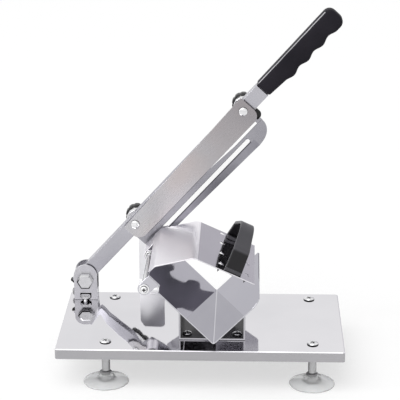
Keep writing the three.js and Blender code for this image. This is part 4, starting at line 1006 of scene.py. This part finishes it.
# The eye is the part of a circle below the bar: it leaves the bar's lower edge at eye_side from its middle.
eye_radius, eye_side, eye_start, bar_tail = 12, 10.59, 0.4905, -11.5
arc = np.linspace(np.pi + eye_start, turn - eye_start, 30)
bar_line = np.vstack([
    np.c_[eye_radius * np.cos(arc), eye_radius * np.sin(arc)],
    rounded([
        (eye_side, bar_low), (bar_end, bar_low, 0.8), (bar_end, bar_high, 0.8),
        (bar_tail, bar_high, 3.0), (bar_tail, bar_low, 1.0), (-eye_side, bar_low),
    ], False, 6)[1:-1],
])
bar = on_arm(slab(bar_line, bar_front, bar_back, 0.7, 4))
tang = on_arm(slab(oblong((309, -2.15), (423, 8.85), 0.5), 149.1, 154.1, 0.4))
laid("lever_bar", [bar, tang], "arm", "arm_bar", satin_bar)
bumper = on_arm(slab(oblong((bar_tail - 3, 4.05), (bar_tail - clearance, 12.05), 1), 148.1, 155.1, 0.8))
laid("tail_bumper", [bumper], "arm", "arm_bumper", black_rubber)
clamp_line = rounded([
    (clamp_start, clamp_low, 12), (clamp_end, clamp_low, 10), (clamp_end, 16.3, 1.5), (clamp_start, 10.5, 1.5),
], True, 12)
clamp = on_arm(slab(clamp_line, clamp_front, clamp_back, 0.3, 4))
laid("clamp_sheet", [clamp], "arm", "clamp_plate", satin_clamp)


def wedge_line(s):
    """Where the painted highlight wedge below the clamp plate ends: 14.65 below the arm's line, and from 197 on
    lower by up to 3.2, evenly over 45."""
    return -14.65 - 3.2 * np.clip((s - 197) / 45, 0, 1)


def cutting_edge(s):
    """How low the cutting edge lies at each place along the arm: the heel and the toe are curves with one
    control point (t0, t1, t2), each summed as (1 - k)^2 t0 + 2 k (1 - k) t1 + k^2 t2, and a straight line
    that falls towards the toe joins them."""
    k = np.clip((s - blade_start) / (heel - blade_start), 0, 1)
    j = 1 - np.sqrt(np.clip(1 - np.clip((s - toe) / (blade_end - toe), 0, 1), 0, 1))
    heel_curve = (1 - k) ** 2 * -29.7 + 2 * k * (1 - k) * heel_edge + k**2 * heel_edge
    toe_curve = (1 - j) ** 2 * toe_edge + 2 * j * (1 - j) * toe_edge + j**2 * -17.7
    straight = np.interp(s, [heel, toe], [heel_edge, toe_edge])
    return np.where(s < heel, heel_curve, np.where(s < toe, straight, toe_curve))


def blade_sheet():
    """The blade: at each place s along it, rows run from the top edge down to the cutting edge. The sheet is
    2 mm thick. A groove runs along the front face: it drops 0.9 mm at its upper side and rises evenly to its
    lower side, so that it faces up. Below it both faces taper to an edge 0.4 mm thick."""
    s = np.unique(np.r_[
        np.linspace(blade_start, heel, 30),
        np.linspace(heel, groove_end, 90),
        np.linspace(groove_end, blade_end, 40),
    ])
    edge, wedge = cutting_edge(s)[:, None], wedge_line(s)[:, None]
    above = [np.full_like(wedge, level) for level in (11.0, 5.0, -10.0, clamp_low)]
    below = np.r_[-18.4, -21.5, -21.9, np.linspace(groove_high, groove_low, 9), -27.4, grind]
    rows = above + [wedge, wedge - 0.02, wedge - 0.7] + [np.full_like(wedge, level) for level in below]
    low = np.maximum(grind, edge)
    ground = low + (edge - low) * np.linspace(0, 1, 7)[1:]
    t = np.concatenate([np.maximum(np.concatenate(rows, 1), edge), ground], 1)
    tip = s > 284.8
    t[tip] = np.minimum(t[tip], -16.5)
    across = np.interp(-t, [21.95, -groove_high, -groove_low], [0.0, 0.9, 0.0])
    groove = across * np.clip((groove_end - s) / 2.4, 0, 1)[:, None] ** 0.5
    taper = np.interp(-t, [-grind, 38.0], [0.0, 0.8]) * np.clip((262 - s) / 6, 0, 1)[:, None]
    along = np.repeat(s[:, None], t.shape[1], 1)
    front = np.stack([along, t, blade_front + groove + taper], -1)
    back = np.stack([along, t, blade_back - taper], -1)
    return loft(np.concatenate([front, back[:, ::-1]], 1))


def blade_place(middle):
    """How far along the arm, how far up from its line, and how deep each point lies."""
    off = middle - pivot
    return off @ arm_way, off @ arm_up, middle[:, 1]


def groove_and_highlight_wedge(middle, normal):
    """The front of the groove, with its round end, and the wedge that opens below the clamp plate towards
    the toe. The wedge lies flat in the blade's face, and its bright colour is a painted highlight."""
    s, t, y = blade_place(middle)
    from_middle = t - groove_middle
    end = groove_end - 2.4 + 2.4 * np.sqrt(np.clip(1 - (from_middle / 2.4) ** 2, 0, 1))
    groove = (np.abs(from_middle) < 2.35) & (s > 112) & (s < end)
    wedge = (t < -14.0) & (t > wedge_line(s) - 0.01) & (s > 197) & (s < 279)
    return (groove | wedge) & (y < blade_middle)


def dull_edge(middle, normal):
    """The ground edge below the groove, short of the toe."""
    s, t, _ = blade_place(middle)
    return (t < -28.3) & (s < 262)


def shade_line_faces(middle, normal):
    """Painted shade: the two narrow lines beside the groove, above and below it, and a painted shadow line under
    the clamp plate's edge.
    """
    s, t, y = blade_place(middle)
    above_groove = (t < -21.4) & (t > -22.3)
    below_groove = (t < -27.05) & (t > -28.3)
    under_clamp = (t < -14.66) & (t > -15.4) & (s < 196)
    lines = above_groove | below_groove | under_clamp
    return lines & (s > 95) & (s < groove_end) & (y < blade_middle)


blade_finishes = [(dull_blade, dull_edge), (shade_line_blade, shade_line_faces), (groove_and_highlight_blade, groove_and_highlight_wedge)]
blade = on_arm(blade_sheet())
laid("cutting_blade", [blade], "arm", "blade", ground_blade, 12, others=blade_finishes)
spacer_line = rounded([(281.8, -15.9, 0.5), (291.4, -15.9, 6), (291.4, -5.5, 1), (281.8, -5.5, 0.5)], True, 8)
spacer = on_arm(slab(spacer_line, blade_front, blade_back, 0.3))
laid("end_spacer", [spacer], "arm", "blade_spacer", black_rubber)


def fluted_knob():
    """A knob: its radius is 13.4 less 0.8 times a tenfold wave raised to the fourth power, rounded towards
    both faces by a quarter circle of 2.2 mm, with a shallow dish in the outer face."""
    full, height, edge = 13.4, 11.0, 2.2
    angle = np.linspace(0, turn, 160, endpoint=False)
    wave = 0.8 * (0.5 + 0.5 * np.cos(10 * angle)) ** 4
    bend = np.linspace(0, np.pi / 2, 8)
    out, over = edge * np.sin(bend), edge * np.cos(bend)
    profile = np.vstack([
        [[0, 0], [9.0, 0]],
        np.c_[full - edge + out, edge - over],
        np.c_[full - edge + over, height - edge + out],
        [[9.6, 10.9], [8.8, 10.3], [6.0, 10.0], [0, 9.9]],
    ])
    radius = profile[:, :1] - wave * np.clip((profile[:, :1] - 8) / 5.4, 0, 1)
    return loft(around(radius, profile[:, 1:], angle), False)


for place, s in bolt_places.items():
    spot = pivot + s * arm_way + bolt_height * arm_up
    plated("clamp_bolt_" + place, [
        along_depth(screw(5.2, 2.6, 3.9, 1.5, deep=0.0), spot + (clamp_front - clearance) * y_way, True),
        along_depth(shank([[0, 139.6], [3.9, 139.6]], 4.0, 141, 176.9, 1.25, 0.35, 40), spot),
    ], "blade_bolt_" + place, "arm", 40)
    collar = along_depth(ring_shell(11.5, 4.3, bar_back + clearance, collar_back, 0.5), spot)
    plated("collar_" + place, [collar], "knob_collar_" + place, "arm")
    knob = along_depth(fluted_knob(), spot + (collar_back + clearance) * y_way)
    laid("fluted_knob_" + place, [knob], place + "_knob", "knob_" + place, black_knob, 50, False)


def finger_grip():
    """The grip: at each place s a rounded section, a circle whose sine and cosine are raised to 0.42, is
    stretched to 9 mm each side and from the lower to the upper line. The lower line falls by 1.8 mm over
    25 mm and then swells as a cosine every 23.3 mm; both ends close along quarter circles."""
    full, half_width, end_round, start_round, side_round = 120.4, 9.0, 9, 2.5, 4.5
    s = np.unique(np.r_[
        np.sin(np.linspace(0, np.pi / 2, 14)) * -start_round + start_round,
        np.linspace(start_round, full - end_round, 110),
        full - end_round + end_round * np.sin(np.linspace(0, np.pi / 2, 26)),
    ])
    ended, begun = cut_back(s - (full - end_round), end_round), cut_back(start_round - s, start_round)
    wave = -9.8 + 1.5 * np.cos(turn * (s - 25) / 23.3)
    lower = np.where(s < 25, np.interp(s, [0, 25], [-6.5, -8.3]), np.where(s < 106.55, wave, -11.3))
    top = np.interp(s, [0, full], [13.2, 14.6]) - ended - begun
    bottom = lower + ended + begun
    half = half_width - cut_back(s - (full - side_round), side_round) - begun
    angle = np.linspace(0, turn, 72, endpoint=False)
    up, out = (np.sign(side) * np.abs(side) ** 0.42 for side in (np.sin(angle), np.cos(angle)))
    middle, reach = (top + bottom) / 2, (top - bottom) / 2
    along = np.repeat((s + grip_start)[:, None], len(angle), 1)
    return loft(np.stack([along, middle[:, None] + reach[:, None] * up, half[:, None] * out + bar_middle], -1))


def highlight_faces(middle, normal):
    """The faces along both upper edges of the grip, about 6.9 mm from its middle, where a highlight is painted in
    a lighter colour.
    """
    s, t, y = blade_place(middle)
    return (np.abs(np.abs(y - bar_middle) - 6.9) < 0.55) & (t > 4) & (s > 314) & (s < 424)


laid(
    "finger_grip", [on_arm(finger_grip())], "arm", "handle_grip", black_grip,
    60, False, others=[(grip_highlight, highlight_faces)])


# ---------------------------------------------------------------- slice guard

def guard_sheet():
    """The guard: a sheet up the back lip, out over a joggle and up again. Its half width of 15.1 shrinks at
    both ends by 6 less the root of 36 less the distance squared."""
    on_lip, off_lip, foot, top, round_end = 169.05, 184.45, -10.9, 71, 6
    joggle = rounded([(on_lip, foot), (on_lip, 3.75, 3), (off_lip, 8.75, 3), (off_lip, top)], False, 8)
    joggle = finer(joggle, 1.5)
    rise = round_end * np.sin(np.linspace(0, np.pi / 2, 12))
    line = np.vstack([
        np.c_[np.full(12, on_lip), foot + round_end - rise[::-1]],
        joggle[(joggle[:, 1] > -4.6) & (joggle[:, 1] < 64.9)],
        np.c_[np.full(12, off_lip), top - round_end + rise],
    ])
    beyond = np.maximum(foot + round_end - line[:, 1], line[:, 1] - (top - round_end))
    half = 15.1 - cut_back(beyond, round_end)
    return across_plate(strip(line, -half, half, 1.5, 0.2), 96.3 * x_way)


laid("guard_sheet", [guard_sheet()], "base", "guard_plate", satin_guard)
for place, x in {"left": 88.2, "right": 104.4}.items():
    hole = np.array([x, 0.0, -6.0])
    fixing = along_depth(screw(3.8, 2.2, small_shank, 6.8), hole + 170.1 * y_way)
    plated("guard_fix_screw_" + place, [fixing], "guard_screw_" + place, crease=40)
    plated("guard_fix_nut_" + place, [along_depth(hex_head(7, 163.2, 166.2, True), hole)], "guard_nut_" + place)


# ---------------------------------------------------------------- floor, light and camera
# Lengths are in metres from here on, in the row frame.

def floor_finish():
    """A white floor. Where the camera sees it, straight or through the clear cups, part of its white is its
    own light, so the object's soft shadow stays light."""
    n = Nodes("white floor")
    n.set(Base_Color=(0.99, 0.99, 0.99, 1), Roughness=0.9, Specular_IOR_Level=0.0)
    path = n.add("ShaderNodeLightPath").outputs
    direct = n.math("MAXIMUM", path["Is Camera Ray"], path["Is Transmission Ray"])
    own = {0: n.math("MULTIPLY", direct, 0.6), 1: n.shader.outputs[0], 2: n.glow((1, 1, 1, 1))}
    return n.surface(n.add("ShaderNodeMixShader", own).outputs[0])


def flat_face(name, corners, material):
    """One flat face of the set, which is no part of the tool."""
    mesh = bpy.data.meshes.new(name)
    mesh.from_pydata(corners, [], [tuple(range(len(corners)))])
    mesh.materials.append(material)
    made = linked(name, mesh)
    return made


def flag(name, corners, colour):
    """A plain card beside the set that only shows in the metal's reflections, as a photographer's flag does."""
    n = Nodes(name)
    card = flat_face(name, corners, n.surface(n.glow(colour(n) if callable(colour) else (*colour, 1))))
    card.visible_camera = False
    card.visible_diffuse = False
    card.visible_shadow = False
    card.visible_transmission = False


def facing(x0, x1, y, z0, z1):
    """The corners of an upright card that faces the front."""
    return [(x0, y, z0), (x1, y, z0), (x1, y, z1), (x0, y, z1)]


def uneven_dark(n):
    """The dark card's own colour, which drifts slowly from near black to a dull violet grey."""
    slow = n.noise(n.mapped(), 9.0, 2.0, 0.5)
    return n.ramp(slow, [(0.38, (0.085, 0.083, 0.10)), (0.62, (0.145, 0.138, 0.17))])


flat_face("studio_floor", [(-9, -9, 0), (9, -9, 0), (9, 9, 0), (-9, 9, 0)], floor_finish())
flag("right_flag", facing(0.40, 1.3, 2.0, 0.35, 1.1), (0.56, 0.55, 0.59))
flag("left_low_flag", facing(-0.75, -0.25, 1.2, -0.05, 0.24), (0.72, 0.715, 0.75))
flag("pale_flag", facing(0.31, 0.78, 1.22, -0.02, 0.27), (0.68, 0.67, 0.71))
flag("front_softbox", facing(-1.2, 1.2, -2.4, 0.35, 1.4), (1.3, 1.3, 1.3))

dark_left = smooth_line([
    [0.490, 0.0], [0.489, 0.085], [0.4885, 0.0934], [0.486, 0.111], [0.482, 0.121], [0.470, 0.1225],
    [0.4645, 0.132], [0.464, 0.145], [0.469, 0.151], [0.466, 0.162], [0.457, 0.177], [0.447, 0.181],
    [0.4435, 0.1735], [0.434, 0.1735], [0.4305, 0.181], [0.432, 0.19], [0.434, 0.211], [0.430, 0.26],
], 140)
dark_right = [
    (0.60, 0.26), (0.60, 0.172), (0.524, 0.168), (0.5235, 0.157), (0.527, 0.15), (0.531, 0.136),
    (0.56, 0.130), (0.56, 0.0),
]
flag("dark_flag", [(x, 1.2, z) for x, z in [*dark_left, *dark_right]], uneven_dark)


class WorldNodes(Nodes):
    """The same for the world's nodes."""

    def __init__(self, name):
        self.world = bpy.data.worlds.new(name)
        self.world.use_nodes = True
        self.tree = self.world.node_tree
        self.tree.nodes.clear()

    def sky(self, strength):
        return self.add("ShaderNodeBackground", {"Color": (1, 1, 1, 1), "Strength": strength}).outputs[0]


studio = WorldNodes("white studio")
bpy.context.scene.world = studio.world
path = studio.add("ShaderNodeLightPath").outputs
seen = studio.math("MAXIMUM", path["Is Camera Ray"], path["Is Glossy Ray"])
seen = studio.math("MAXIMUM", seen, path["Is Transmission Ray"])
ambient, backdrop = studio.sky(0.62), studio.sky(1.0)
either = studio.add("ShaderNodeMixShader", {0: seen, 1: ambient, 2: backdrop}).outputs[0]
studio.add("ShaderNodeOutputWorld", {"Surface": either})

sun_data = bpy.data.lights.new("soft_overhead", "SUN")
sun_data.energy = 1.35
sun_data.angle = np.radians(55)
sun = linked("soft_overhead", sun_data)
sun.rotation_euler = (np.radians(22), np.radians(-18), 0)

lamp_data = bpy.data.lights.new("left_strip_lamp", "AREA")
lamp_data.shape = "RECTANGLE"
lamp_data.size, lamp_data.size_y = 0.14, 1.0
lamp_data.energy = 3.6
lamp = linked("left_strip_lamp", lamp_data)
lamp.location = (-1.2, -0.32, 0.95)
lamp.rotation_euler = Vector((-1.2, -0.25, 0.75)).to_track_quat("Z", "Y").to_euler()

# The camera stands where the base plate's corners in the photograph put it.
yaw, pitch, roll = np.radians([1.94, 18.94, -0.12])
forward = np.array([-np.sin(yaw) * np.cos(pitch), np.cos(yaw) * np.cos(pitch), -np.sin(pitch)])
level = np.array([np.cos(yaw), np.sin(yaw), 0.0])
upward = np.cross(level, forward)
matrix = np.eye(4)
matrix[:3, 0] = np.cos(roll) * level + np.sin(roll) * upward
matrix[:3, 1] = -np.sin(roll) * level + np.cos(roll) * upward
matrix[:3, 2] = -forward
matrix[:3, 3] = (np.array([214.0, -1566.0, 713.0]) + plate_corner) * millimetre
camera_data = bpy.data.cameras.new("camera")
camera_data.sensor_width = 36
camera_data.lens = 140.4
camera = linked("camera", camera_data)
camera.matrix_world = Matrix(matrix.tolist())
bpy.context.scene.camera = camera
bpy.context.scene.view_settings.view_transform = "Standard"


def plain(box):
    """A box as plain lists of numbers."""
    return [[float(v) for v in corner] for corner in box]
